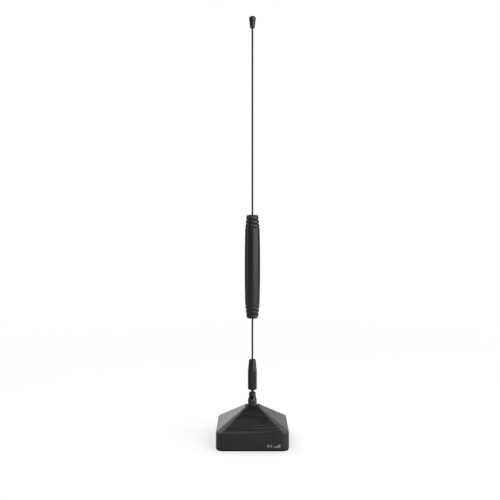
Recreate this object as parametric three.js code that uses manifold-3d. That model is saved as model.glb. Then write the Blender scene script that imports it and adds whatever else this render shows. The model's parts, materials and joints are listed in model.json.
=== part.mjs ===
// Table antenna: one loaded whip on a fork hinge, on a square weighted foot with a pyramid roof.
// Millimetres, +Z up. The origin is the centre of the foot's underside and the front wall faces -Y.
import * as THREE from 'three';
import { mergeVertices } from 'three/addons/utils/BufferGeometryUtils.js';
import Module from 'manifold-3d';

const wasm = await Module();
wasm.setup();

// ---------------------------------------------------------------- driving dimensions

// Clearances
const seatGap = 0.02; // between faces that are stacked on each other
const slipGap = 0.1; // radial, round a pin, rod or plug that is pushed into a bore
const pinGap = 0.05; // radial, round the pivot
const dropGap = 0.2; // round a plate or ring that is dropped into a recess

// Foot: pad, cover and base plate
const footWidth = 80; // across the walls at their lower rim
const footCornerRadius = 8.3;
const padThickness = 1.6;
const padInset = 0.7; // the pad stops short of the walls by this much
const wallTopZ = 19.4; // edge where walls and roof meet
const wallLean = 0.21; // how far each wall leans in on its way up
const roofFlatZ = 39.7;
const roofFlatWidth = 16.3;
const coverThickness = 2.2;
const roofFlatThickness = 3;
const plateThickness = 2;
const bossRadius = 3.5;
const bossInset = 5.6; // from the inner wall faces to a corner boss's axis

// Plate screws, countersunk
const plateScrewRadius = 1.3;
const plateScrewHeadRadius = 2.6;
const plateScrewLength = 8.2;

// Pot magnet
const magnetRadius = 23;
const magnetBoreRadius = 8;
const magnetThickness = 6;
const cupWall = 1.8;
const cupTopThickness = 5.5; // also the ballast that keeps the tilted whip from tipping the foot
const locatorWall = 1.5; // ring on the plate that keeps the cup in the middle
const locatorHeight = 4;

// Circuit board under the roof
const boardWidth = 36;
const boardDepth = 26;
const boardThickness = 1.6;
const boardOffsetY = 6;
const boardClearance = 2.6; // free height over the cup
const postRadius = 2.6;
const postInset = 3.5; // from the board's ends to a post's axis
const boardScrewRadius = 1;
const boardScrewHeadRadius = 1.9;
const boardScrewHeadHeight = 1.2;
const boardScrewReach = 6; // thread above the board

// Matching transformer and capacitors on the board
const coreLength = 7;
const coreWidth = 13;
const coreHeight = 7;
const coreHoleRadius = 1.8;
const windingThickness = 1.6;
const windingOverhang = 2.2; // how far the turns stand out of the core
const coreX = -3.5;
const coreOffsetY = 5.5; // from the board's middle, clear of the stud
const capacitorLength = 3.2;
const capacitorWidth = 1.6;
const capacitorHeight = 1.2;
const capacitorPitch = 3.5;
const capacitorX = 6.5;

// Cable bushing in the rear wall
const glandBoreRadius = 1.6;
const glandNeckRadius = 2.7;
const glandFlangeRadius = 3.8;
const glandFlangeThickness = 0.9;

// Swivel stack on the roof flat
const footWasherRadius = 4.8;
const footWasherThickness = 0.5;
const studRadius = 2.5;
const lugRadius = 4.6;
const lugThickness = 0.8;
const lugTailWidth = 3;
const lugTailGap = 0.7; // from the tail's end to the roof
const waveWasherRadius = 4.4;
const waveWasherThickness = 0.4;
const waveHeight = 0.15;
const nutAcrossFlats = 8;
const nutThickness = 4;
const studSpare = 1; // thread that shows past the nut
const feedWireRadius = 0.6;
const feedWireShiftX = 8; // from the lug's tail to the wire's pad on the board
const feedWireShiftY = 3.6;

// Fork
const collarRadius = 5.1;
const collarHeight = 6.3;
const shoulderHeight = 1.2;
const neckRadius = 4.6; // just above the shoulder
const waistRadius = 4.15; // half way up from the shoulder to the dome
const headRadius = 4;
const domeHeight = 2.4;
const forkHeight = 16.2;
const slotFootGap = 0.2; // from the blade's round foot to the foot of the slot
const reliefRadius = 0.9; // blind holes drilled into the foot of the slot, front and back
const reliefDepth = 2.2;
const pivotDepth = 4.8; // from the top of the dome to the pivot's axis
const pivotRadius = 1.2;
const pivotHeadRadius = 2.2;
const pivotHeadThickness = 0.9;
const pivotHeadCrown = 0.25;
const pivotSeat = 3; // distance from the middle to each head's seat
const pivotNutDepth = 1.7; // barrel of the nut below its seat

// Hinge tongue and ferrule
const bladeThickness = 1.8;
const bladeHalfWidth = 3.2;
const bladeGap = 0.05; // to each cheek of the slot
const ferruleStart = 5.8; // from the pivot's axis to the ferrule
const ferruleTipRadius = 2.3;
const ferruleConeHeight = 1.4;
const ribRadius = 5.13;
const ribDepth = 0.4;
const ribCount = 14;
const ribbedLength = 20.6;
const taperLength = 13;
const taperTopRadius = 3.8;
const ferruleEdge = 0.4; // chamfer round the top
const stemRadius = 1.5;
const stemLength = 12;
const stemRoot = 0.4; // length of stem inside the blade, short enough to pass over the fork's dome
const rodGrip = 15; // length of rod inside the ferrule

// Rods, sleeve and tip cap
const rodRadius = 1;
const lowerRodLength = 46.9; // the stretch that shows
const upperRodLength = 207.7; // the stretch that shows
const sleeveLength = 116.4;
const sleeveRadius = 8.8; // at the middle
const sleeveEndRadius = 8.2; // where the smooth body ends
const sleeveBoreRadius = 5.6;
const beadCount = 3;
const beadPitch = 4.54;
const beadInset = 3; // from the end face to the middle of the first bead
const beadStep = 0.48; // each bead is smaller than the next one inward by this much
const firstBeadRadius = 6.95;
const beadCrown = 0.3; // how far a bead's edges lie below its middle
const grooveDepth = 0.75;
const grooveHalfWidth = 0.7;
const plugLength = 3;
const capLength = 13.4;
const capMouthRadius = 2.7;
const capRadius = 3.9;
const capDomeHeight = 2.5;
const capFlare = 1.15; // power of the flare's curve
const capGrip = 8.5; // length of rod inside the cap

// Loading coil inside the sleeve
const formerRadius = 4;
const formerLength = 68;
const spigotRadius = 3.1;
const spigotLength = 7;
const coilLength = 58;
const coilThickness = 0.6;
const bushLength = 16;
const bushWeb = 1; // between the spigot's hole and the rod's hole

// Facets round a full turn
const fineSteps = 28;
const plainSteps = 16;
const cornerSteps = 5;

// ---------------------------------------------------------------- derived places

const footHalf = footWidth / 2;
const rimZ = padThickness + seatGap;
const wallTopHalf = footHalf - wallLean;
const roofHalf = roofFlatWidth / 2;
const roofSlope = (roofFlatZ - wallTopZ) / (wallTopHalf - roofHalf);
const roofDrop = coverThickness * Math.hypot(1, roofSlope); // roof thickness measured upright
const cavityHalf = footHalf - coverThickness;
const cavityFlatHalf = roofHalf + (roofFlatThickness - roofDrop) / roofSlope;
const cavityTopZ = roofFlatZ - roofFlatThickness;
const bossPlace = cavityHalf - bossInset;

const plateTopZ = rimZ + plateThickness;
const magnetZ = plateTopZ + seatGap;
const cupRadius = magnetRadius + dropGap + cupWall;
const cupHeight = magnetThickness + seatGap + cupTopThickness;
const boardZ = magnetZ + cupHeight + boardClearance;
const boardTopZ = boardZ + boardThickness + seatGap;
const postX = boardWidth / 2 - postInset;

const glandZ = (rimZ + wallTopZ) / 2;
const wallLeanAt = (z) => (wallLean * (z - rimZ)) / (wallTopZ - rimZ);
const glandFaceY = footHalf - wallLeanAt(glandZ) - slipGap;
const glandSeatY = glandFaceY - glandFlangeThickness;

const lugZ = cavityTopZ - seatGap - lugThickness;
const lugTailReach = cavityFlatHalf - lugTailGap; // from the stud's axis to the tail's end
const collarZ = footWasherThickness + 2 * seatGap; // above the roof flat
const waveZ = lugZ - seatGap - waveHeight - waveWasherThickness - roofFlatZ;
const nutZ = waveZ - waveHeight - seatGap - nutThickness;
const pivotZ = collarZ + forkHeight - pivotDepth;

const ferruleLength = ferruleConeHeight + ribbedLength + taperLength;
const ferruleTop = ferruleStart + ferruleLength;
const sleeveStart = ferruleTop + lowerRodLength;
const sleeveMiddle = sleeveStart + sleeveLength / 2;
const capStart = sleeveStart + sleeveLength + upperRodLength;
const bodyInset = beadInset + (beadCount - 0.5) * beadPitch + grooveHalfWidth;

// ---------------------------------------------------------------- finishes

const satinBlack = { color: 0x2c2c2e, roughness: 0.42, metalness: 0 };
const mattBlack = { color: 0x1c1c1d, roughness: 0.85, metalness: 0 };
const blackMetal = { color: 0x2a2a2b, roughness: 0.34, metalness: 0.6 };
const brightSteel = { color: 0xb9bcc0, roughness: 0.35, metalness: 1 };
const brassYellow = { color: 0xc2a15a, roughness: 0.35, metalness: 1 };
const ferriteGrey = { color: 0x38383a, roughness: 0.7, metalness: 0 };
const boardGreen = { color: 0x1f5a35, roughness: 0.55, metalness: 0 };
const copperRed = { color: 0xb4643a, roughness: 0.35, metalness: 1 };
const ceramicTan = { color: 0xb59a72, roughness: 0.5, metalness: 0 };
const nylonWhite = { color: 0xd9d6cc, roughness: 0.55, metalness: 0 };

// ---------------------------------------------------------------- shaping helpers

/** The closed solid that a geometry bounds, with its shared corners merged. */
function solidOf(geometry) {
  const bare = geometry.clone();
  bare.deleteAttribute('normal');
  bare.deleteAttribute('uv');
  const merged = mergeVertices(bare, 1e-5);
  const corners = Array.from(merged.index.array);
  const triangles = [];
  for (let i = 0; i < corners.length; i += 3) {
    const [a, b, c] = corners.slice(i, i + 3);
    if (a !== b && b !== c && c !== a) {
      triangles.push(a, b, c);
    }
  }
  return new wasm.Manifold(new wasm.Mesh({
    numProp: 3,
    vertProperties: new Float32Array(merged.attributes.position.array),
    triVerts: new Uint32Array(triangles),
  }));
}

/** A solid's surface as a geometry. */
function geometryOf(solid) {
  const { vertProperties, triVerts } = solid.getMesh();
  const geometry = new THREE.BufferGeometry();
  geometry.setAttribute('position', new THREE.BufferAttribute(vertProperties, 3));
  geometry.setIndex(new THREE.BufferAttribute(triVerts, 1));
  geometry.computeVertexNormals();
  return geometry;
}

function join(first, ...others) {
  return geometryOf(others.reduce((solid, other) => solid.add(solidOf(other)), solidOf(first)));
}

function cut(body, ...tools) {
  return geometryOf(tools.reduce((solid, tool) => solid.subtract(solidOf(tool)), solidOf(body)));
}

function common(first, second) {
  return geometryOf(solidOf(first).intersect(solidOf(second)));
}

/** A solid turned about Z from [radius, height] points, walked anticlockwise. */
function revolve(profile, steps = plainSteps) {
  const points = profile.map(([radius, height]) => new THREE.Vector2(radius, height));
  return new THREE.LatheGeometry(points, steps).rotateX(Math.PI / 2);
}

function disc(radius, bottom, top, steps = plainSteps) {
  return revolve([[0, bottom], [radius, bottom], [radius, top], [0, top]], steps);
}

function ring(inner, outer, bottom, top, steps = plainSteps) {
  return revolve([[inner, bottom], [outer, bottom], [outer, top], [inner, top], [inner, bottom]], steps);
}

/** Points of a quarter of an ellipse, from its widest radius up to its top on the axis. */
function dome(radius, bottom, height, steps) {
  const points = [];
  for (let i = 0; i <= steps; i += 1) {
    const turn = (Math.PI / 2) * (i / steps);
    points.push([i === steps ? 0 : radius * Math.cos(turn), bottom + height * Math.sin(turn)]);
  }
  return points;
}

/** An outline lifted to each level in turn and scaled there, as a closed solid. */
function loft(outline, levels) {
  const geometry = new THREE.ExtrudeGeometry(outline, {
    depth: levels.length - 1,
    steps: levels.length - 1,
    bevelEnabled: false,
    curveSegments: cornerSteps,
  });
  const { position } = geometry.attributes;
  for (let i = 0; i < position.count; i += 1) {
    const { z, scale } = levels[Math.round(position.getZ(i))];
    position.setXYZ(i, position.getX(i) * scale, position.getY(i) * scale, z);
  }
  return geometry;
}

/** A prism of an outline between two heights. */
function prism(outline, bottom, top) {
  return loft(outline, [{ z: bottom, scale: 1 }, { z: top, scale: 1 }]);
}

function box(width, depth, bottom, top) {
  return new THREE.BoxGeometry(width, depth, top - bottom).translate(0, 0, (bottom + top) / 2);
}

function roundedRectangle(width, depth, radius) {
  const x = width / 2 - radius;
  const y = depth / 2 - radius;
  const shape = new THREE.Shape();
  shape.absarc(x, y, radius, 0, Math.PI / 2, false);
  shape.absarc(-x, y, radius, Math.PI / 2, Math.PI, false);
  shape.absarc(-x, -y, radius, Math.PI, 1.5 * Math.PI, false);
  shape.absarc(x, -y, radius, 1.5 * Math.PI, 2 * Math.PI, false);
  shape.closePath();
  return shape;
}

/** Adds a named piece to its group. */
function piece(group, name, geometry, finish, place = [0, 0, 0]) {
  const mesh = new THREE.Mesh(geometry, new THREE.MeshStandardMaterial(finish));
  mesh.name = name;
  mesh.position.set(...place);
  group.add(mesh);
}

/** Calls make(x, y, number) at the four corners of a square, numbered from 1. */
function atCorners(reach, make) {
  const signs = [[-1, -1], [1, -1], [1, 1], [-1, 1]];
  return signs.map(([x, y], i) => make(x * reach, y * reach, i + 1));
}

// ---------------------------------------------------------------- foot

function outerFoot() {
  return loft(roundedRectangle(footWidth, footWidth, footCornerRadius), [
    { z: rimZ, scale: 1 },
    { z: wallTopZ, scale: wallTopHalf / footHalf },
    { z: roofFlatZ, scale: roofHalf / footHalf },
  ]);
}

/** The hollow of the cover: walls of even thickness under a roof of even thickness. */
function cavity() {
  const width = 2 * cavityHalf;
  const wallScale = (wallTopHalf - coverThickness) / cavityHalf;
  return loft(roundedRectangle(width, width, footCornerRadius - coverThickness), [
    { z: 0, scale: 1 },
    { z: wallTopZ + roofSlope * coverThickness - roofDrop, scale: wallScale },
    { z: cavityTopZ, scale: cavityFlatHalf / cavityHalf },
  ]);
}

function baseCover() {
  const outer = outerFoot();
  const bosses = atCorners(bossPlace, (x, y) =>
    disc(bossRadius, plateTopZ + seatGap, roofFlatZ).translate(x, y, 0));
  const posts = [-postX, postX].map((x) =>
    disc(postRadius, boardTopZ, roofFlatZ).translate(x, boardOffsetY, 0));
  const pillars = common(join(...bosses, ...posts), outer);
  const pilots = atCorners(bossPlace, (x, y) =>
    disc(plateScrewRadius + slipGap, plateTopZ, rimZ + plateScrewLength + 1).translate(x, y, 0));
  const postPilots = [-postX, postX].map((x) =>
    disc(boardScrewRadius + slipGap, boardZ, boardTopZ + boardScrewReach + 1)
      .translate(x, boardOffsetY, 0));
  const studHole = disc(studRadius + slipGap, cavityTopZ - 1, roofFlatZ + 1, fineSteps);
  const glandHole = join(
    disc(glandNeckRadius + slipGap, cavityHalf - coverThickness, footHalf).rotateX(-Math.PI / 2),
    disc(glandFlangeRadius + slipGap, glandSeatY - slipGap, footHalf + 1).rotateX(-Math.PI / 2),
  ).translate(0, 0, glandZ);
  return cut(join(cut(outer, cavity()), pillars), ...pilots, ...postPilots, studHole, glandHole);
}

function basePlate() {
  const width = 2 * (cavityHalf - dropGap);
  const corner = footCornerRadius - coverThickness - dropGap;
  const locator = ring(cupRadius + dropGap, cupRadius + dropGap + locatorWall,
    plateTopZ - seatGap, plateTopZ + locatorHeight, fineSteps);
  const sheet = prism(roundedRectangle(width, width, corner), rimZ, plateTopZ);
  const sink = plateScrewHeadRadius - plateScrewRadius;
  const holes = atCorners(bossPlace, (x, y) => revolve([
    [0, rimZ - 1],
    [plateScrewHeadRadius + slipGap, rimZ - 1],
    [plateScrewHeadRadius + slipGap, rimZ + slipGap],
    [plateScrewRadius + slipGap, rimZ + slipGap + sink],
    [plateScrewRadius + slipGap, plateTopZ + 1],
    [0, plateTopZ + 1],
  ]).translate(x, y, 0));
  return cut(join(sheet, locator), ...holes);
}

/** Countersunk screw standing on its head, with a crossed drive recess. */
function plateScrew() {
  const sink = plateScrewHeadRadius - plateScrewRadius;
  const body = revolve([
    [0, 0],
    [plateScrewHeadRadius, 0],
    [plateScrewRadius, sink],
    [plateScrewRadius, plateScrewLength - plateScrewRadius],
    [0, plateScrewLength],
  ], plainSteps);
  const slotWidth = plateScrewRadius / 2;
  const slotLength = 2 * plateScrewRadius;
  return cut(body, box(slotLength, slotWidth, -1, sink / 2), box(slotWidth, slotLength, -1, sink / 2));
}

function poleCup() {
  return revolve([
    [0, magnetThickness + seatGap],
    [magnetRadius + dropGap, magnetThickness + seatGap],
    [magnetRadius + dropGap, 0],
    [cupRadius, 0],
    [cupRadius, cupHeight - 1],
    [cupRadius - 1, cupHeight],
    [0, cupHeight],
  ], fineSteps);
}

function matchingBoard() {
  const sheet = prism(roundedRectangle(boardWidth, boardDepth, 1), 0, boardThickness);
  const holes = [-postX, postX].map((x) =>
    disc(boardScrewRadius + slipGap, -1, boardThickness + 1).translate(x, 0, 0));
  return cut(sheet, ...holes);
}

/** Pan-head screw pointing up, its head just under the board. */
function boardScrew() {
  const length = boardThickness + boardScrewReach;
  const edge = boardScrewHeadRadius * 0.8;
  return revolve([
    [0, -boardScrewHeadHeight],
    [edge, -boardScrewHeadHeight],
    [boardScrewHeadRadius, -boardScrewHeadHeight / 2],
    [boardScrewHeadRadius, -seatGap],
    [boardScrewRadius, -seatGap],
    [boardScrewRadius, length - boardScrewRadius],
    [0, length],
  ], plainSteps);
}

/** Ferrite block with two holes side by side, lying along X. */
function transformerCore() {
  const outline = roundedRectangle(coreWidth, coreHeight, coreHeight / 2 - 0.1);
  for (const x of [-coreWidth / 4, coreWidth / 4]) {
    const hole = new THREE.Path();
    hole.absarc(x, 0, coreHoleRadius, 0, 2 * Math.PI, true);
    outline.holes.push(hole);
  }
  return prism(outline, -coreLength / 2, coreLength / 2)
    .rotateX(Math.PI / 2)
    .rotateZ(Math.PI / 2);
}

/** Flat bundle of turns through both holes of the core. */
function transformerWinding() {
  const length = coreLength + 2 * windingOverhang;
  const width = coreWidth / 2 + windingThickness;
  const outline = roundedRectangle(length, width, windingOverhang - 0.4);
  const inner = roundedRectangle(length - 2 * windingThickness, width - 2 * windingThickness, 0.4);
  outline.holes.push(new THREE.Path(inner.getPoints(2)));
  return prism(outline, -windingThickness / 2, windingThickness / 2);
}

function chipCapacitor() {
  return prism(roundedRectangle(capacitorLength, capacitorWidth, 0.2), 0, capacitorHeight);
}

/** Rubber bushing with a flange on each side of the wall, its bore along Y. */
function cableGland() {
  const wallInnerY = cavityHalf - wallLeanAt(glandZ);
  const profile = [
    [glandBoreRadius, wallInnerY - glandFlangeThickness - slipGap],
    [glandFlangeRadius - 0.3, wallInnerY - glandFlangeThickness - slipGap],
    [glandFlangeRadius - 0.3, wallInnerY - slipGap],
    [glandNeckRadius, wallInnerY - slipGap],
    [glandNeckRadius, glandSeatY],
    [glandFlangeRadius, glandSeatY],
    [glandFlangeRadius, glandFaceY - 0.2],
    [glandFlangeRadius - 0.2, glandFaceY],
    [glandBoreRadius, glandFaceY],
    [glandBoreRadius, wallInnerY - glandFlangeThickness - slipGap],
  ];
  return revolve(profile, plainSteps).rotateX(-Math.PI / 2);
}

function contactLug() {
  const blank = join(
    disc(lugRadius, 0, lugThickness, fineSteps),
    box(lugTailWidth, lugTailReach, 0, lugThickness).translate(0, lugTailReach / 2, 0),
  );
  return cut(blank, disc(studRadius + slipGap, -1, lugThickness + 1, fineSteps));
}

/** Insulated wire from under the lug's tail down to the board. */
function feedWire() {
  const top = lugZ - slipGap;
  const bottom = boardTopZ + slipGap;
  const tailY = lugTailReach - lugTailWidth / 2;
  const middle = (top + bottom) / 2;
  const straight = 3 * feedWireRadius;
  const path = new THREE.CatmullRomCurve3([
    new THREE.Vector3(0, tailY, top),
    new THREE.Vector3(0, tailY, top - straight),
    new THREE.Vector3(feedWireShiftX / 2, tailY + feedWireShiftY / 2, middle),
    new THREE.Vector3(feedWireShiftX, tailY + feedWireShiftY, bottom + straight),
    new THREE.Vector3(feedWireShiftX, tailY + feedWireShiftY, bottom),
  ]);
  const section = new THREE.Shape();
  section.absarc(0, 0, feedWireRadius, 0, 2 * Math.PI, false);
  return new THREE.ExtrudeGeometry(section, { extrudePath: path, steps: 16, curveSegments: 4 });
}

const foot = new THREE.Group();
const padWidth = footWidth - 2 * padInset;
piece(foot, 'foot_pad', prism(roundedRectangle(padWidth, padWidth, footCornerRadius - padInset),
  0, padThickness), mattBlack);
piece(foot, 'base_cover', baseCover(), satinBlack);
piece(foot, 'base_plate', basePlate(), satinBlack);
atCorners(bossPlace, (x, y, number) =>
  piece(foot, `plate_screw_${number}`, plateScrew(), brightSteel, [x, y, rimZ + slipGap / 2]));
piece(foot, 'magnet_ring', ring(magnetBoreRadius, magnetRadius, 0, magnetThickness, fineSteps),
  ferriteGrey, [0, 0, magnetZ]);
piece(foot, 'pole_cup', poleCup(), brightSteel, [0, 0, magnetZ]);
piece(foot, 'matching_board', matchingBoard(), boardGreen, [0, boardOffsetY, boardZ]);
[-postX, postX].forEach((x, i) =>
  piece(foot, `board_screw_${i + 1}`, boardScrew(), brightSteel, [x, boardOffsetY, boardZ]));
const corePlace = [coreX, boardOffsetY + coreOffsetY, boardTopZ + coreHeight / 2];
piece(foot, 'transformer_core', transformerCore(), ferriteGrey, corePlace);
piece(foot, 'transformer_winding', transformerWinding(), copperRed, corePlace);
[0, 1].forEach((i) =>
  piece(foot, `chip_capacitor_${i + 1}`, chipCapacitor(), ceramicTan,
    [capacitorX, boardOffsetY - capacitorPitch * (i + 0.5), boardTopZ]));
piece(foot, 'cable_gland', cableGland(), mattBlack, [0, 0, glandZ]);
piece(foot, 'contact_lug', contactLug(), brassYellow, [0, 0, lugZ]);
piece(foot, 'feed_wire', feedWire(), copperRed);

// ---------------------------------------------------------------- turret: what turns on the roof flat

/** Fork with its stud: collar, shoulder, tapering neck and domed head, slotted and cross-drilled. */
function fork() {
  const shoulderZ = collarZ + collarHeight;
  const neckZ = shoulderZ + shoulderHeight;
  const forkTop = collarZ + forkHeight;
  const headZ = forkTop - domeHeight;
  const blank = revolve([
    [0, nutZ - studSpare],
    [studRadius, nutZ - studSpare],
    [studRadius, collarZ],
    [collarRadius, collarZ],
    [collarRadius, shoulderZ],
    [neckRadius, neckZ],
    [waistRadius, (neckZ + headZ) / 2],
    ...dome(headRadius, headZ, domeHeight, 4),
  ], fineSteps);
  const slotWidth = bladeThickness + 2 * bladeGap;
  const slotZ = forkTop - pivotDepth - bladeHalfWidth - slotFootGap;
  const slot = box(slotWidth, 4 * collarRadius, slotZ, forkTop + 1);
  const reliefs = [-1, 1].map((side) =>
    disc(reliefRadius, collarRadius - reliefDepth, 2 * collarRadius)
      .rotateX((side * Math.PI) / 2)
      .translate(0, 0, slotZ));
  const pivotHole = disc(pivotRadius + pinGap, -collarRadius, collarRadius, fineSteps)
    .rotateY(Math.PI / 2)
    .translate(0, 0, pivotZ);
  const seats = [-1, 1].map((side) =>
    disc(pivotHeadRadius + slipGap, pivotSeat, 2 * pivotSeat, plainSteps)
      .rotateY((side * Math.PI) / 2)
      .translate(0, 0, pivotZ));
  const nutBarrel = disc(pivotRadius + 2 * slipGap + 0.4, pivotSeat - pivotNutDepth - slipGap,
    pivotSeat + 1, fineSteps)
    .rotateY(-Math.PI / 2)
    .translate(0, 0, pivotZ);
  return cut(blank, slot, ...reliefs, pivotHole, ...seats, nutBarrel);
}

/** Crowned, slotted head and a plain shank, along Z, its seat at z = 0. */
function pivotScrew() {
  const end = -(pivotSeat + pivotSeat - 0.5);
  const body = revolve([
    [0, end],
    [pivotRadius, end],
    [pivotRadius, 0],
    [pivotHeadRadius, 0],
    [pivotHeadRadius, pivotHeadThickness - pivotHeadCrown],
    [pivotHeadRadius * 0.75, pivotHeadThickness - pivotHeadCrown * 0.3],
    [0, pivotHeadThickness],
  ], fineSteps);
  return cut(body, box(0.6, 3 * pivotHeadRadius, pivotHeadThickness / 2, 2 * pivotHeadThickness));
}

/** Crowned head with a barrel that takes the screw's end, along Z, its seat at z = 0. */
function pivotNut() {
  const bore = pivotRadius + slipGap;
  return revolve([
    [0, pivotHeadThickness / 3],
    [bore, pivotHeadThickness / 3],
    [bore, -pivotNutDepth],
    [bore + 0.4, -pivotNutDepth],
    [bore + 0.4, 0],
    [pivotHeadRadius, 0],
    [pivotHeadRadius, pivotHeadThickness - pivotHeadCrown],
    [pivotHeadRadius * 0.75, pivotHeadThickness - pivotHeadCrown * 0.3],
    [0, pivotHeadThickness],
  ], fineSteps);
}

/** Flat ring bent into three waves. */
function waveWasher() {
  const geometry = ring(studRadius + slipGap, waveWasherRadius, 0, waveWasherThickness, fineSteps);
  const { position } = geometry.attributes;
  for (let i = 0; i < position.count; i += 1) {
    const turn = Math.atan2(position.getY(i), position.getX(i));
    position.setZ(i, position.getZ(i) + waveHeight * Math.cos(3 * turn));
  }
  return geometry;
}

function studNut() {
  const outline = new THREE.Shape();
  const cornerRadius = nutAcrossFlats / Math.sqrt(3);
  for (let i = 0; i < 6; i += 1) {
    const turn = (i * Math.PI) / 3;
    outline[i === 0 ? 'moveTo' : 'lineTo'](cornerRadius * Math.cos(turn), cornerRadius * Math.sin(turn));
  }
  outline.closePath();
  return cut(prism(outline, 0, nutThickness), disc(studRadius + slipGap, -1, nutThickness + 1, fineSteps));
}

const turret = new THREE.Group();
turret.position.z = roofFlatZ;
piece(turret, 'foot_washer', ring(studRadius + slipGap, footWasherRadius, 0, footWasherThickness, fineSteps),
  nylonWhite, [0, 0, seatGap]);
piece(turret, 'fork', fork(), blackMetal);
piece(turret, 'wave_washer', waveWasher(), brightSteel, [0, 0, waveZ]);
piece(turret, 'stud_nut', studNut(), brightSteel, [0, 0, nutZ]);
piece(turret, 'pivot_screw', pivotScrew().rotateY(Math.PI / 2), blackMetal,
  [pivotSeat + seatGap, 0, pivotZ]);
piece(turret, 'pivot_nut', pivotNut().rotateY(-Math.PI / 2), blackMetal,
  [-pivotSeat - seatGap, 0, pivotZ]);

// ---------------------------------------------------------------- whip: what tilts about the pivot

/** Flat blade with a round foot about the pivot, and a threaded stem up into the ferrule. */
function hingeTongue() {
  const bladeTop = ferruleStart - slipGap;
  const outline = new THREE.Shape();
  outline.absarc(0, 0, bladeHalfWidth, Math.PI, 2 * Math.PI, false);
  outline.lineTo(bladeHalfWidth, bladeTop);
  outline.lineTo(-bladeHalfWidth, bladeTop);
  outline.closePath();
  const blade = new THREE.ExtrudeGeometry(outline, {
    depth: bladeThickness,
    bevelEnabled: false,
    curveSegments: 2 * cornerSteps,
  })
    .translate(0, 0, -bladeThickness / 2)
    .rotateX(Math.PI / 2)
    .rotateZ(Math.PI / 2);
  const stem = disc(stemRadius, bladeTop - stemRoot, bladeTop + stemLength, fineSteps);
  const pivotHole = disc(pivotRadius + pinGap, -collarRadius, collarRadius, fineSteps)
    .rotateY(Math.PI / 2);
  return cut(join(blade, stem), pivotHole);
}

/** Outline of the ribbed stretch: ribs with rounded backs between narrow grooves, one facing the front. */
function ribbedOutline() {
  const outline = new THREE.Shape();
  const pointsPerRib = 5;
  const count = ribCount * pointsPerRib;
  for (let i = 0; i < count; i += 1) {
    const turn = (2 * Math.PI * i) / count - Math.PI / 2;
    const radius = i % pointsPerRib === 0 ? ribRadius - ribDepth : ribRadius;
    outline[i === 0 ? 'moveTo' : 'lineTo'](radius * Math.cos(turn), radius * Math.sin(turn));
  }
  outline.closePath();
  return outline;
}

/** Ferrule from its lower tip at z = 0: cone, ribs, taper, a stem hole below and a rod hole above. */
function whipFerrule() {
  const taperZ = ferruleConeHeight + ribbedLength;
  const lower = loft(ribbedOutline(), [
    { z: 0, scale: ferruleTipRadius / ribRadius },
    { z: ferruleConeHeight, scale: 1 },
    { z: taperZ, scale: 1 },
  ]);
  const core = ribRadius - 2 * ribDepth;
  const upper = revolve([
    [0, taperZ - 1],
    [core, taperZ - 1],
    [core, taperZ],
    [ribRadius, taperZ],
    [taperTopRadius, ferruleLength - ferruleEdge],
    [taperTopRadius - ferruleEdge, ferruleLength],
    [0, ferruleLength],
  ], fineSteps);
  const stemHole = disc(stemRadius + slipGap, -1, stemLength + 1);
  const rodHole = disc(rodRadius + slipGap, ferruleLength - rodGrip - slipGap, ferruleLength + 1);
  return cut(join(lower, upper), stemHole, rodHole);
}

/** One end of the sleeve's outline: bead rings that grow inward, each followed by a groove. */
function beadRun() {
  const run = [];
  for (let i = 0; i < beadCount; i += 1) {
    const radius = firstBeadRadius + i * beadStep;
    const middle = beadInset + i * beadPitch;
    const half = beadPitch / 2 - grooveHalfWidth;
    run.push(
      [radius - beadCrown, middle - half],
      [radius, middle - half / 2],
      [radius, middle + half / 2],
      [radius - beadCrown, middle + half],
      [radius - grooveDepth, middle + beadPitch / 2],
    );
  }
  return run;
}

/** Barrel sleeve about its own middle, with a plain bore. */
function gripSleeve() {
  const half = sleeveLength / 2;
  const run = beadRun();
  const ends = [[sleeveBoreRadius, 0], [firstBeadRadius - grooveDepth, 0], ...run];
  const barrel = [];
  const bodyHalf = half - bodyInset;
  const stations = 6;
  for (let i = 0; i <= stations; i += 1) {
    const share = (2 * i) / stations - 1;
    const radius = sleeveRadius - (sleeveRadius - sleeveEndRadius) * share * share;
    barrel.push([radius, share * bodyHalf]);
  }
  const lower = ends.map(([radius, height]) => [radius, height - half]);
  const upper = ends.map(([radius, height]) => [radius, half - height]).reverse();
  return revolve([...lower, ...barrel, ...upper, lower[0]], fineSteps);
}

/** Insulating rod with a thinner spigot at each end, about its own middle. */
function coilFormer() {
  const half = formerLength / 2;
  const end = half + spigotLength;
  return revolve([
    [0, -end],
    [spigotRadius, -end],
    [spigotRadius, -half],
    [formerRadius, -half],
    [formerRadius, half],
    [spigotRadius, half],
    [spigotRadius, end],
    [0, end],
  ]);
}

/** Brass end bush from the former's shoulder at z = 0 outward. */
function coilBush() {
  const outer = sleeveBoreRadius - slipGap;
  const spigotHoleDepth = spigotLength + slipGap;
  const rodHoleStart = spigotHoleDepth + bushWeb;
  return revolve([
    [0, spigotHoleDepth],
    [spigotRadius + slipGap, spigotHoleDepth],
    [spigotRadius + slipGap, 0],
    [outer, 0],
    [outer, bushLength],
    [rodRadius + slipGap, bushLength],
    [rodRadius + slipGap, rodHoleStart],
    [0, rodHoleStart],
  ]);
}

/** Tip cap from its mouth at z = 0: flared body, domed top and a blind hole for the rod. */
function tipCap() {
  const domeZ = capLength - capDomeHeight;
  const flareZ = 1;
  const flare = [];
  const stations = 5;
  for (let i = 0; i < stations; i += 1) {
    const share = i / stations;
    const radius = capMouthRadius + (capRadius - capMouthRadius) * share ** capFlare;
    flare.push([radius, flareZ + (domeZ - flareZ) * share]);
  }
  return revolve([
    [0, capGrip + slipGap],
    [rodRadius + slipGap, capGrip + slipGap],
    [rodRadius + slipGap, 0],
    [capMouthRadius - 0.4, 0],
    [capMouthRadius, 0.4],
    ...flare,
    ...dome(capRadius, domeZ, capDomeHeight, 4),
  ], fineSteps);
}

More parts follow.
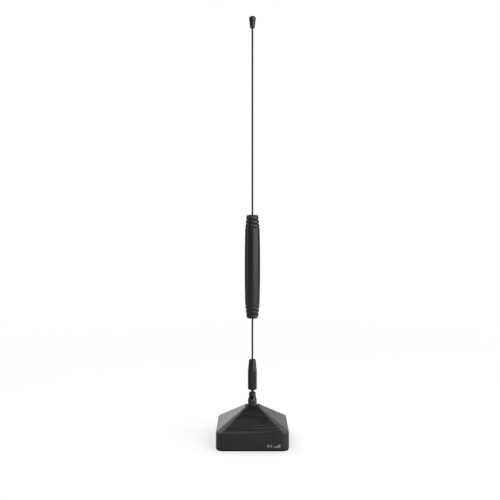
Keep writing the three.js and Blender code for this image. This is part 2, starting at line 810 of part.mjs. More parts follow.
const whip = new THREE.Group();
whip.position.z = pivotZ;
turret.add(whip);
piece(whip, 'hinge_tongue', hingeTongue(), blackMetal);
piece(whip, 'whip_ferrule', whipFerrule(), blackMetal, [0, 0, ferruleStart]);
const bushFace = formerLength / 2 + seatGap;
const rodEnd = bushFace + spigotLength + slipGap + bushWeb + seatGap; // from the sleeve's middle
piece(whip, 'lower_rod', disc(rodRadius, ferruleTop - rodGrip, sleeveMiddle - rodEnd), blackMetal);
piece(whip, 'upper_rod', disc(rodRadius, sleeveMiddle + rodEnd, capStart + capGrip), blackMetal);
piece(whip, 'tip_cap', tipCap(), satinBlack, [0, 0, capStart]);

const sleeve = new THREE.Group();
sleeve.position.z = sleeveMiddle;
whip.add(sleeve);
piece(sleeve, 'grip_sleeve', gripSleeve(), satinBlack);
piece(sleeve, 'coil_former', coilFormer(), nylonWhite);
piece(sleeve, 'loading_coil', ring(formerRadius + pinGap, formerRadius + pinGap + coilThickness,
  -coilLength / 2, coilLength / 2), copperRed);
piece(sleeve, 'coil_bush_upper', coilBush(), brassYellow, [0, 0, bushFace]);
piece(sleeve, 'coil_bush_lower', coilBush().rotateX(Math.PI), brassYellow, [0, 0, -bushFace]);
const plug = ring(rodRadius + slipGap, sleeveBoreRadius - slipGap, 0, plugLength);
piece(sleeve, 'grip_plug_upper', plug, satinBlack, [0, 0, sleeveLength / 2 - plugLength - seatGap]);
piece(sleeve, 'grip_plug_lower', plug.clone(), satinBlack, [0, 0, seatGap - sleeveLength / 2]);

const antenna = new THREE.Group();
antenna.add(foot, turret);

export default antenna;
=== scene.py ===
"""Table antenna: outer surfaces, finishes and studio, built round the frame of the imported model.

Everything is in metres in the frame's own coordinates: +Z up, the front wall facing -Y and the origin in
the middle of the foot's underside. Lengths named in millimetres are multiplied by MM.
"""

import json
import math

import bmesh
import bpy
import numpy as np
from bpy.props import FloatProperty, FloatVectorProperty, IntProperty, PointerProperty
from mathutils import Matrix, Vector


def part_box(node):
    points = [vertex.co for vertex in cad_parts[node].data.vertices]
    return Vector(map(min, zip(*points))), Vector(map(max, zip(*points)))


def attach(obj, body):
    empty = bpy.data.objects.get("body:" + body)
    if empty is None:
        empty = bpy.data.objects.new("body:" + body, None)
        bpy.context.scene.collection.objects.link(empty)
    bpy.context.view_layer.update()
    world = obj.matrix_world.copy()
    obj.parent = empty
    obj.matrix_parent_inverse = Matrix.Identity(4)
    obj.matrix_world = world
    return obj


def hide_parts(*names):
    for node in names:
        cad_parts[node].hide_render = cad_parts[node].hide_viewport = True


bl_info = {
    "name": "Whip Table Antenna",
    "version": (1, 0, 0),
    "blender": (4, 5, 0),
    "location": "3D View > Sidebar > Antenna",
    "description": "Builds the outer surfaces, finishes and studio of a table antenna round its frame",
    "category": "Object",
}

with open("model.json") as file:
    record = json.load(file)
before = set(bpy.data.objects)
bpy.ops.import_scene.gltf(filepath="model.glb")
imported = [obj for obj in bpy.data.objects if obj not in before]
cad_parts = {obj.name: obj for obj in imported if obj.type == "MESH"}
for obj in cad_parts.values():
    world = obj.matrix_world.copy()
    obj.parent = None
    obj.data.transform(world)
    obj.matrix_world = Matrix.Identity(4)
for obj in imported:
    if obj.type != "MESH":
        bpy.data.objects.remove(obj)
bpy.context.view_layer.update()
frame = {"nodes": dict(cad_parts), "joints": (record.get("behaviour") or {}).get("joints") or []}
PIVOT = tuple(next(j for j in frame["joints"] if j["name"] == "whip_tilt")["pos_m"])
MM = 0.001
CUTTER_PHASE = 0.037  # radians
ROD_HOLE = 1.1 * MM  # radius of the hole for a wire rod
HOLE_END = 0.1 * MM  # radius of the small flat that closes a blind hole
DOME_END = 0.04 * MM  # radius of the small flat that closes a dome


def srgb(code):
    """Linear RGBA of an sRGB hex colour: the standard curve, straight near black and a 2.4 power above."""
    value = np.array([int(code[i : i + 2], 16) for i in (1, 3, 5)]) / 255
    linear = np.where(value <= 0.04045, value / 12.92, ((value + 0.055) / 1.055) ** 2.4)
    return (*linear.tolist(), 1.0)


def span(node):
    """Lowest and highest corner of a CAD node, as arrays in metres."""
    low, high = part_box(node)
    return np.array(low), np.array(high)


def length(name, description, millimetres):
    """A length property, shown in scene units."""
    return FloatProperty(name=name, description=description, default=millimetres * MM, min=0, unit="LENGTH")


def colour(name, description, code):
    """A colour property from an sRGB hex value."""
    return FloatVectorProperty(
        name=name, description=description, default=srgb(code), size=4, subtype="COLOR", min=0, max=1
    )


# ------------------------------------------------------------------ what a user would change


class AntennaFoot(bpy.types.PropertyGroup):
    """Sizes of the foot's cover and pad that its outer box doesn't give."""

    wall_height: length("Wall height", "Table to the edge where walls and roof meet", 19.4)
    wall_lean: length("Wall lean", "How far each wall leans in on its way up", 0.21)
    corner_radius: length("Corner radius", "Rounding of the upright corners", 8.3)
    flat_width: length("Flat width", "Side of the small square flat on top of the roof", 16.3)
    flat_thickness: length("Flat thickness", "Thickness of the roof under the flat", 3.0)
    thickness: length("Wall thickness", "Thickness of the walls and the sloping roof", 2.2)
    stud_hole: length("Stud hole radius", "Hole through the flat for the fork's stud", 2.6)
    eave_edge: length("Eave rounding", "Rounding of the edge between wall and roof", 0.8)
    flat_edge: length("Flat rounding", "Rounding of the edge between roof and flat", 0.8)
    rim_edge: length("Rim rounding", "Rounding of the lower edge of the walls", 0.3)
    pad_edge: length("Pad rounding", "Rounding of the pad's edges", 0.35)
    gland_sink: length("Bushing sink radius", "Counterbore round the cable bushing", 3.9)


class AntennaHinge(bpy.types.PropertyGroup):
    """Sizes of the fork, its pivot and the tongue."""

    shoulder: length("Shoulder height", "Height of the cone above the collar", 1.2)
    collar_height: length("Collar height", "Height of the fork's plain collar", 6.3)
    neck_radius: length("Neck radius", "Radius just above the shoulder", 4.6)
    head_radius: length("Head radius", "Radius where the dome starts", 4.0)
    dome_height: length("Dome height", "Height of the fork's domed top", 2.4)
    slot_depth: length("Slot depth", "From the dome's top to the foot of the slot", 8.2)
    slot_width: length("Slot width", "Gap between the fork's cheeks", 1.86)
    relief_radius: length("Relief radius", "Blind holes at both ends of the slot's foot", 0.9)
    relief_depth: length("Relief depth", "Depth of these holes from the collar's radius", 2.2)
    pivot_radius: length("Pivot radius", "Shank of the pivot screw", 1.2)
    pivot_head: length("Pivot head radius", "Heads of the pivot screw and nut", 2.2)
    pivot_seat: length("Pivot seat", "Middle of the fork to the seat of each head", 3.0)
    blade_thickness: length("Blade thickness", "Thickness of the hinge tongue", 1.8)
    stem_radius: length("Stem radius", "Threaded stem of the hinge tongue", 1.5)


class AntennaWhip(bpy.types.PropertyGroup):
    """Sizes of the ferrule, the sleeve and the tip cap."""

    rib_count: IntProperty(name="Ribs", description="Ribs round the ferrule", default=14, min=3)
    rib_depth: length("Groove depth", "Depth of the grooves between the ribs", 0.6)
    cone_height: length("Cone height", "Height of the cone at the ferrule's foot", 1.4)
    tip_radius: length("Cone tip radius", "Radius of the ferrule's lower end", 2.3)
    ribbed_length: length("Ribbed length", "Length of the ribbed stretch", 20.6)
    taper_radius: length("Taper radius", "Radius of the ferrule's upper end", 3.8)
    sleeve_end_radius: length("Body end radius", "Sleeve radius where the smooth body ends", 8.2)
    sleeve_bore: length("Sleeve bore", "Radius of the sleeve's bore", 5.6)
    bead_count: IntProperty(name="Beads", description="Bead rings at each end", default=3, min=1)
    bead_pitch: length("Bead pitch", "Distance from one bead to the next", 4.54)
    bead_inset: length("Bead inset", "End face to the middle of the first bead", 3.0)
    bead_step: length("Bead step", "How much smaller each bead is than the next one inward", 0.48)
    first_bead: length("First bead radius", "Radius of the smallest bead", 6.95)
    groove_depth: length("Bead groove depth", "Depth of the grooves between beads", 0.95)
    cap_mouth: length("Cap mouth radius", "Radius of the tip cap's lower end", 2.7)
    cap_dome: length("Cap dome height", "Height of the tip cap's dome", 2.5)
    cap_flare: FloatProperty(name="Cap flare", description="Power of the flare's curve", default=1.15)


class AntennaColours(bpy.types.PropertyGroup):
    """Base colours of the finishes."""

    plastic: colour("Black plastic", "Moulded ABS of the cover, the sleeve and the cap", "#161617")
    plated: colour("Black plating", "Black plated brass and steel of the hinge and whip", "#3a3a3b")
    oxide: colour("Black oxide", "Oxide skin of the wire rods", "#2b2b2c")
    rubber: colour("Black rubber", "Pad and bushing", "#0d0d0d")
    ink: colour("Print", "Pad-printed mark on the front wall", "#9c9c9c")
    steel: colour("Zinc plated steel", "Screws, cup and nut", "#b9bcc0")
    brass: colour("Turned brass", "Lug and bushes", "#c9a55c")
    copper: colour("Enamelled copper", "Coil and winding", "#b5613a")
    ferrite: colour("Ferrite", "Magnet and core", "#3a3a3c")
    board: colour("Circuit board", "Solder resist over glass laminate", "#1d5a34")
    chip: colour("Chip ceramic", "Capacitor bodies", "#b79b73")
    nylon: colour("Nylon", "Former", "#d8d4c8")
    wire: colour("Wire insulation", "Feed wire", "#a52019")
    floor: colour("Floor", "Pale studio floor", "#c4c4c4")


class AntennaStudio(bpy.types.PropertyGroup):
    """Where the camera stands."""

    distance: length("Camera distance", "Camera to the whip's axis", 781.3)
    height: length("Camera height", "Camera above the table", 242.9)
    sideways: length("Camera offset", "How far the camera stands to the left", 2.69)
    tilt: FloatProperty(name="Camera tilt", description="Downward tilt", default=0.0341, subtype="ANGLE")
    lens: FloatProperty(name="Focal length", description="Lens in millimetres", default=50.0)


# ------------------------------------------------------------------ surfaces


def circle(turn):
    """Points of the unit circle at the given angles."""
    return np.stack([np.cos(turn), np.sin(turn)], axis=-1)


def fillet(points, radii, steps=6, lead=0.3 * MM):
    """A polyline with its inner corners rounded, in any number of dimensions.

    In a corner of half angle h, an arc of radius r touches both sides r / tan(h) from the corner and has
    its centre r / sin(h) along the bisector. A support point is kept a short lead before and after it, so
    that the flats next to it shade flat.
    """
    points = np.asarray(points, float)
    path = [points[0]]
    for before, corner, after, radius in zip(points, points[1:], points[2:], radii):
        if radius <= 0:
            path.append(corner)
            continue
        back = (before - corner) / np.linalg.norm(before - corner)
        ahead = (after - corner) / np.linalg.norm(after - corner)
        half = math.acos(np.clip(back @ ahead, -1, 1)) / 2
        reach = radius / math.tan(half)
        bisector = (back + ahead) / np.linalg.norm(back + ahead)
        centre = corner + bisector * radius / math.sin(half)
        start, end = corner + back * reach, corner + ahead * reach
        sweep = math.pi - 2 * half
        share = np.linspace(0, 1, steps + 1)[:, None]
        arms = (np.sin((1 - share) * sweep) * (start - centre) + np.sin(share * sweep) * (end - centre))
        path += [start + back * lead, *(centre + arms / math.sin(sweep)), end + ahead * lead]
    path.append(points[-1])
    return np.array(path)


def turned(profile, steps=64, phase=0.0):
    """Rings of a solid of revolution: each point (r, h) gives r cos t, r sin t at height h.

    A cutter starts at a small phase, so that its corners don't fall on the corners of what it cuts.
    """
    profile = np.asarray(profile, float)
    turn = phase + np.linspace(0, 2 * math.pi, steps, endpoint=False)
    rings = np.empty((len(profile), steps, 3))
    rings[..., :2] = profile[:, :1, None] * circle(turn)
    rings[..., 2] = profile[:, 1:]
    return rings


def square_rings(profile, side_steps=10, corner_steps=12):
    """Rounded-square rings from (half width, corner radius, height) rows.

    A ring point is (half - radius) C + radius D. On a corner arc C is that corner's sign pair and D runs
    round the quarter circle; on a side D stands still and C runs from one corner's signs to the next.
    """
    signs = np.array([(1, 1), (-1, 1), (-1, -1), (1, -1)], float)
    centres, arms = [], []
    for corner, (here, there) in enumerate(zip(signs, np.roll(signs, -1, axis=0))):
        turn = (corner + np.linspace(0, 1, corner_steps + 1)) * math.pi / 2
        share = np.linspace(0, 1, side_steps + 1)[1:-1, None]
        centres += [np.repeat(here[None], len(turn), axis=0), here + (there - here) * share]
        arc = circle(turn)
        arms += [arc, np.repeat(arc[-1:], len(share), axis=0)]
    centres, arms = np.concatenate(centres), np.concatenate(arms)
    half, radius, height = (column[:, None] for column in np.asarray(profile, float).T)
    rings = np.empty((len(half), len(centres), 3))
    rings[..., :2] = (half - radius)[..., None] * centres + radius[..., None] * arms
    rings[..., 2] = height
    return rings


def sheet_faces(rows, steps, closed):
    """Quads between stacked rings that run round, and the two end rings as caps unless the stack closes."""
    index = np.arange(rows * steps).reshape(rows, steps)
    lower = index if closed else index[:-1]
    upper = np.roll(index, -1, axis=0) if closed else index[1:]
    quads = np.stack([lower, np.roll(lower, -1, 1), np.roll(upper, -1, 1), upper], axis=-1)
    faces = quads.reshape(-1, 4).tolist()
    return faces if closed else [*faces, index[0, ::-1].tolist(), index[-1].tolist()]


def piece(name, rings, material, closed=False, smooth=30):
    """A piece from stacked rings, or from a list of such stacks, with a UV map in metres.

    U is the share of the way round times the longest ring, and V the distance along the middle of the
    stack, so a pattern on it keeps its real scale and follows the surface.
    """
    stacks = rings if isinstance(rings, list) else [rings]
    vertices, faces, coordinates = [], [], []
    start = 0
    for stack in stacks:
        rows, steps = stack.shape[:2]
        made = sheet_faces(rows, steps, closed)
        faces += [[corner + start for corner in face] for face in made]
        vertices.append(stack.reshape(-1, 3))
        start += rows * steps
        strides = np.linalg.norm(np.diff(stack, axis=0, append=stack[:1]), axis=-1).mean(axis=1)
        v = np.concatenate([[0], np.cumsum(strides)])
        around = np.linalg.norm(np.diff(stack, axis=1, append=stack[:, :1]), axis=-1).sum(axis=1).max()
        u = np.linspace(0, around, steps + 1)
        strips = rows if closed else rows - 1
        low_u, high_u = np.broadcast_to(u[:-1], (strips, steps)), np.broadcast_to(u[1:], (strips, steps))
        low_v = np.broadcast_to(v[:strips, None], (strips, steps))
        high_v = np.broadcast_to(v[1 : strips + 1, None], (strips, steps))
        corners = [(low_u, low_v), (high_u, low_v), (high_u, high_v), (low_u, high_v)]
        coordinates.append(np.stack([np.stack(pair, axis=-1) for pair in corners], axis=2).reshape(-1, 2))
        if not closed:
            coordinates.append(np.zeros((2 * steps, 2)))
    mesh = bpy.data.meshes.new(name)
    mesh.from_pydata(np.concatenate(vertices), [], faces)
    layer = mesh.uv_layers.new(name="surface")
    layer.data.foreach_set("uv", np.concatenate(coordinates).astype(np.float32).ravel())
    made = bpy.data.objects.new(name, mesh)
    bpy.context.scene.collection.objects.link(made)
    mesh.materials.append(material)
    mesh.shade_smooth()
    mesh.set_sharp_from_angle(angle=math.radians(smooth))
    return made


def apply_modifiers(made, smooth=30):
    """Puts a piece's modifiers into its mesh, and takes out the slivers that a cut can leave."""
    sliver = 0.002 * MM
    graph = bpy.context.evaluated_depsgraph_get()
    mesh = bpy.data.meshes.new_from_object(made.evaluated_get(graph), depsgraph=graph)
    made.modifiers.clear()
    work = bmesh.new()
    work.from_mesh(mesh)
    bmesh.ops.remove_doubles(work, verts=work.verts, dist=sliver)
    bmesh.ops.dissolve_degenerate(work, edges=work.edges, dist=sliver)
    work.to_mesh(mesh)
    work.free()
    old, made.data = made.data, mesh
    mesh.name = made.name
    bpy.data.meshes.remove(old)
    mesh.shade_smooth()
    mesh.set_sharp_from_angle(angle=math.radians(smooth))


def carve(made, cutters, operation="DIFFERENCE", smooth=30):
    """Cuts pieces out of a piece, or joins them to it, and removes them.

    A cut face keeps its cutter's finish.
    """
    for cutter in cutters:
        boolean = made.modifiers.new("carve", "BOOLEAN")
        boolean.operation = operation
        boolean.material_mode = "TRANSFER"
        boolean.solver = "EXACT"
        boolean.object = cutter
    apply_modifiers(made, smooth)
    for cutter in cutters:
        bpy.data.meshes.remove(cutter.data)


def along_x(rings, centre=(0, 0, 0), flip=False):
    """Turns rings about Z into rings about X by passing the axes on in order; flip faces them to -X."""
    placed = np.roll(rings, 1, axis=-1)
    if flip:
        placed = placed * (-1, -1, 1)
    return placed + np.asarray(centre)


def along_y(rings, centre=(0, 0, 0)):
    """Turns rings about Z into rings about Y by passing the axes on in order."""
    return np.roll(rings, -1, axis=-1) + np.asarray(centre)


def ring_profile(inner, low, high, edge, lead):
    """A plain ring's closed profile with rounded edges, from its bore and its node's two corners."""
    outer, middle = high[0], (low[2] + high[2]) / 2
    outline = [(inner, middle), (inner, low[2]), (outer, low[2]), (outer, high[2]), (inner, high[2])]
    return fillet(outline + [outline[0]], [edge] * 4, steps=4, lead=lead)[:-1]


def bar(width, depth, bottom, top):
    """Rings of a plain bar, used only as a cutter."""
    corners = np.array([(1, 1), (-1, 1), (-1, -1), (1, -1)]) * (width / 2, depth / 2)
    rings = np.empty((2, 4, 3))
    rings[..., :2] = corners
    rings[:, :, 2] = [[bottom], [top]]
    return rings


def place(made, body, slot, *nodes):
    """Makes a finished piece ride on its body and stand for its CAD nodes."""
    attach(made, body)
    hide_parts(*nodes)
    return made


# ------------------------------------------------------------------ finishes


def add(tree, kind, settings=None, **inputs):
    """Adds a node, sets its properties and fills its inputs, with values or with links from sockets.

    An input's spaces are written as underscores.
    """
    made = tree.nodes.new(kind)
    for key, value in (settings or {}).items():
        setattr(made, key, value)
    for key, value in inputs.items():
        socket = made.inputs[int(key[1:])] if key[0] == "_" else made.inputs[key.replace("_", " ")]
        if isinstance(value, bpy.types.NodeSocket):
            tree.links.new(value, socket)
        else:
            socket.default_value = value
    return made


def maths(tree, operation, *values):
    """The result of a Math node."""
    inputs = {f"_{i}": value for i, value in enumerate(values)}
    return add(tree, "ShaderNodeMath", {"operation": operation}, **inputs).outputs["Value"]


def finish(name, base, roughness, metallic=0.0, specular=0.5, coat=0.0):
    """A new material with its shader: base colour and constant values are set on the shader's sockets."""
    material = bpy.data.materials.new(name)
    material.use_nodes = True
    tree = material.node_tree
    tree.nodes.clear()
    shader = add(
        tree,
        "ShaderNodeBsdfPrincipled",
        Base_Color=tuple(base),
        Roughness=roughness,
        Metallic=metallic,
        Specular_IOR_Level=specular,
        Coat_Weight=coat,
    )
    add(tree, "ShaderNodeOutputMaterial", Surface=shader.outputs["BSDF"])
    return material, tree, shader


def tint(tree, shader, base, factor, low, high):
    """Base colour between a darker and a lighter share of itself, by a pattern."""
    dark = (*(low * c for c in base[:3]), 1.0)
    light = (*(min(1.0, high * c) for c in base[:3]), 1.0)
    mix = add(tree, "ShaderNodeMix", {"data_type": "RGBA"}, _0=factor, _6=dark, _7=light)
    tree.links.new(mix.outputs[2], shader.inputs["Base Color"])


def spread(tree, shader, factor, low, high):
    """Roughness between two values, by a pattern."""
    ranged = add(tree, "ShaderNodeMapRange", Value=factor, To_Min=low, To_Max=high)
    tree.links.new(ranged.outputs["Result"], shader.inputs["Roughness"])


def relief(tree, shader, height, depth):
    """Bump from a pattern of the given real depth in metres."""
    bump = add(tree, "ShaderNodeBump", Strength=1.0, Distance=depth, Height=height)
    tree.links.new(bump.outputs["Normal"], shader.inputs["Normal"])


def position(tree):
    """Object coordinates, in metres."""
    return add(tree, "ShaderNodeTexCoord").outputs["Object"]


def grain(tree, size, detail=2.0, roughness=0.5, stretch=(1, 1, 1), surface=False):
    """Noise whose blobs are about the given size in metres; stretch lengthens them along an axis.

    It reads object coordinates, or the piece's own UV map where it follows the surface.
    """
    place_from = add(tree, "ShaderNodeTexCoord").outputs["UV" if surface else "Object"]
    scale = tuple(1 / (size * along) for along in stretch)
    mapped = add(tree, "ShaderNodeMapping", Vector=place_from, Scale=scale)
    noise = add(
        tree,
        "ShaderNodeTexNoise",
        {"noise_dimensions": "3D"},
        Vector=mapped.outputs["Vector"],
        Scale=1.0,
        Detail=detail,
        Roughness=roughness,
    )
    return noise.outputs["Fac"]


def moulded_abs(name, base, roughness, depth):
    """Injection-moulded black ABS: satin with a fine even grain, or glossier where the tool was polished.

    The tool's real grain is about 0.1 mm; it is drawn at 0.35 mm so that it shows. A slow change in gloss
    is the flow of the melt.
    """
    material, tree, shader = finish(name, base, roughness, specular=0.4)
    flow = grain(tree, 14 * MM)
    tint(tree, shader, base, flow, 0.86, 1.14)
    spread(tree, shader, flow, 0.88 * roughness, 1.12 * roughness)
    relief(tree, shader, grain(tree, 0.35 * MM, detail=3.0), depth)
    return material


def hairline_abs_with_shade(base):
    """The same ABS where the tool was brushed: straight hairlines along the eaves of each roof slope.

    Real hairlines are 0.05 to 0.2 mm apart; they are drawn 0.7 to 2.2 mm apart so that they show, and run
    about 25 mm before they fade. They scatter light, so they whiten the plastic. The whitening is drawn
    fainter towards the top of the roof, which is painted shade: the top darker as if shaded by the parts
    above it. The slow blotches are 30 mm across.
    """
    material, tree, shader = finish("moulded_abs_hairline_and_shade", base, 0.36, specular=0.4)
    coarse = grain(tree, 2.2 * MM, detail=2.0, stretch=(11, 1, 1), surface=True)
    fine = grain(tree, 0.7 * MM, detail=2.0, stretch=(36, 1, 1), surface=True)
    lines = maths(tree, "MULTIPLY_ADD", fine, 0.35, maths(tree, "MULTIPLY", coarse, 0.65))
    sharp = add(tree, "ShaderNodeMapRange", Value=lines, From_Min=0.45, From_Max=0.6).outputs["Result"]
    split = add(tree, "ShaderNodeSeparateXYZ", Vector=position(tree))
    # Painted shade: a height ramp, full near the eaves and faint at the top, as if the roof's top lay in
    # shade
    wear_and_shade = add(
        tree,
        "ShaderNodeMapRange",
        Value=split.outputs["Z"],
        From_Min=38 * MM,
        From_Max=20 * MM,
        To_Min=0.15,
        To_Max=0.85,
    )
    blotch = maths(tree, "ADD", grain(tree, 30 * MM), 0.5)
    shade_and_blotch = maths(tree, "MULTIPLY", wear_and_shade.outputs["Result"], blotch)
    # The tint carries that painted shade, times the random blotches, on top of the hairlines
    tint(tree, shader, base, maths(tree, "MULTIPLY", sharp, shade_and_blotch), 0.3, 5.5)
    spread(tree, shader, sharp, 0.33, 0.41)
    relief(tree, shader, sharp, 0.008 * MM)
    return material


def black_plating(base):
    """Black nickel on turned brass: a dark metal with soft highlights and faint turning marks.

    Turning marks are rings about the whip's axis, 0.25 mm apart; rubbed spots are a little glossier.
    """
    material, tree, shader = finish("black_plated_turning", base, 0.19, metallic=1.0)
    marks = grain(tree, 0.25 * MM, detail=2.0, stretch=(24, 24, 1))
    wear_and_shade = grain(tree, 3.0 * MM)
    tint(tree, shader, base, wear_and_shade, 0.8, 1.25)
    spread(tree, shader, wear_and_shade, 0.16, 0.24)
    relief(tree, shader, marks, 0.006 * MM)
    return material


def milled_oxide_and_shade(base):
    """Blackened milled faces inside the slot: dull oxide with cutter marks across it, drawn 0.3 mm apart.
    The near-black colour, darker than the plating, is partly the oxide and partly painted shade inside the
    slot, holes and grooves that wear it.
    """
    material, tree, shader = finish("blackened_milled_face_and_shade", base, 0.7, specular=0.25)
    marks = grain(tree, 0.3 * MM, detail=2.0, stretch=(1, 1, 12))
    tint(tree, shader, base, marks, 0.7, 1.2)
    relief(tree, shader, marks, 0.01 * MM)
    return material


def drawn_wire(base):
    """Black oxide on drawn spring wire: fine lines along the wire, drawn 0.2 mm wide and 12 mm long."""
    material, tree, shader = finish("black_oxide_wire", base, 0.35, metallic=1.0)
    lines = grain(tree, 0.2 * MM, stretch=(1, 1, 60))
    tint(tree, shader, base, lines, 0.8, 1.2)
    spread(tree, shader, lines, 0.34, 0.42)
    relief(tree, shader, lines, 0.002 * MM)
    return material


def foam_rubber(base):
    """Cut EVA foam rubber: dull, with open pores about 0.4 mm across and dust caught in them."""
    material, tree, shader = finish("eva_foam_rubber", base, 0.88, specular=0.15)
    pores = add(tree, "ShaderNodeTexVoronoi", Vector=position(tree), Scale=1 / (0.4 * MM))
    tint(tree, shader, base, grain(tree, 1.5 * MM), 0.8, 1.3)
    relief(tree, shader, pores.outputs["Distance"], 0.05 * MM)
    return material


def pad_ink(base):
    """Pad-printed ink: matt, a touch thin in places, so the dark wall greys it in 0.3 mm specks."""
    material, tree, shader = finish("pad_printed_ink", base, 0.6, specular=0.3)
    tint(tree, shader, base, grain(tree, 0.3 * MM, detail=3.0), 0.7, 1.1)
    return material


def plain_metal(name, base, roughness, size, stretch=(1, 1, 1)):
    """Bare or plated metal with scratches or tumbling marks of the given size."""
    material, tree, shader = finish(name, base, roughness, metallic=1.0)
    marks = grain(tree, size, detail=3.0, stretch=stretch)
    tint(tree, shader, base, marks, 0.85, 1.05)
    spread(tree, shader, marks, roughness * 0.8, roughness * 1.3)
    relief(tree, shader, marks, 0.01 * MM)
    return material


def plain_matter(name, base, roughness, size, depth, specular=0.5):
    """Plastic, ceramic or laminate with a grain of the given size and depth."""
    material, tree, shader = finish(name, base, roughness, specular=specular)
    marks = grain(tree, size, detail=3.0)
    tint(tree, shader, base, marks, 0.8, 1.2)
    spread(tree, shader, marks, roughness * 0.85, min(1.0, roughness * 1.15))
    relief(tree, shader, marks, depth)
    return material


def wound_wire(base):
    """Enamelled copper wire wound side by side: rounded turns 0.5 mm apart under clear enamel. Each turn's
    colour is darkened towards the creases between turns and lifted a little on its crest: painted shade and
    painted highlight.
    """
    material, tree, shader = finish("enamelled_copper_winding", base, 0.3, metallic=0.9, coat=0.5)
    pitch, waves_per_unit = 0.5 * MM, 20 / (2 * math.pi)
    turns_with_shade = add(
        tree,
        "ShaderNodeTexWave",
        {"wave_type": "BANDS", "bands_direction": "Z"},
        Vector=position(tree),
        Scale=1 / (pitch * waves_per_unit),
        Distortion=0.0,
    )
    # Painted shade and highlight: the copper goes to 0.35 of itself in the creases and 1.1 on the crests
    tint(tree, shader, base, turns_with_shade.outputs["Fac"], 0.35, 1.1)
    relief(tree, shader, turns_with_shade.outputs["Fac"], 0.15 * MM)
    return material


FINISHES = {
    "plastic": lambda c: moulded_abs("moulded_abs_satin", c.plastic, 0.44, 0.012 * MM),
    "grip_plastic": lambda c: moulded_abs("moulded_abs_polished", c.plastic, 0.27, 0.0015 * MM),
    "roof": lambda c: hairline_abs_with_shade(c.plastic),
    "plated": lambda c: black_plating(c.plated),
    "milled_and_shade": lambda c: milled_oxide_and_shade(c.rubber),
    # The milled finish is partly painted shade: near-black on faces deep in slots, holes and grooves
    "wire_rod": lambda c: drawn_wire(c.oxide),
    "rubber": lambda c: foam_rubber(c.rubber),
    "ink": lambda c: pad_ink(c.ink),
    "steel": lambda c: plain_metal("zinc_plated_steel", c.steel, 0.32, 0.6 * MM),
    "brass": lambda c: plain_metal("turned_brass", c.brass, 0.28, 0.25 * MM, (20, 20, 1)),
    "copper": lambda c: wound_wire(c.copper),
    "ferrite": lambda c: plain_matter("sintered_ferrite", c.ferrite, 0.62, 0.5 * MM, 0.03 * MM),
    "board": lambda c: plain_matter("glass_laminate_resist", c.board, 0.45, 0.8 * MM, 0.02 * MM),
    "chip": lambda c: plain_matter("fired_chip_ceramic", c.chip, 0.5, 0.2 * MM, 0.01 * MM),
    "nylon": lambda c: plain_matter("moulded_nylon", c.nylon, 0.5, 0.5 * MM, 0.01 * MM),
    "washer": lambda c: plain_matter("black_nylon_washer", c.rubber, 0.5, 0.5 * MM, 0.01 * MM),
    "insulation": lambda c: plain_matter("extruded_insulation", c.wire, 0.4, 0.6 * MM, 0.01 * MM),
}
made_finishes = {}


def get_finish(name):
    """The named finish, made the first time that it is asked for."""
    if name not in made_finishes:
        made_finishes[name] = FINISHES[name](bpy.context.scene.antenna_colours)
    return made_finishes[name]


# ------------------------------------------------------------------ studio


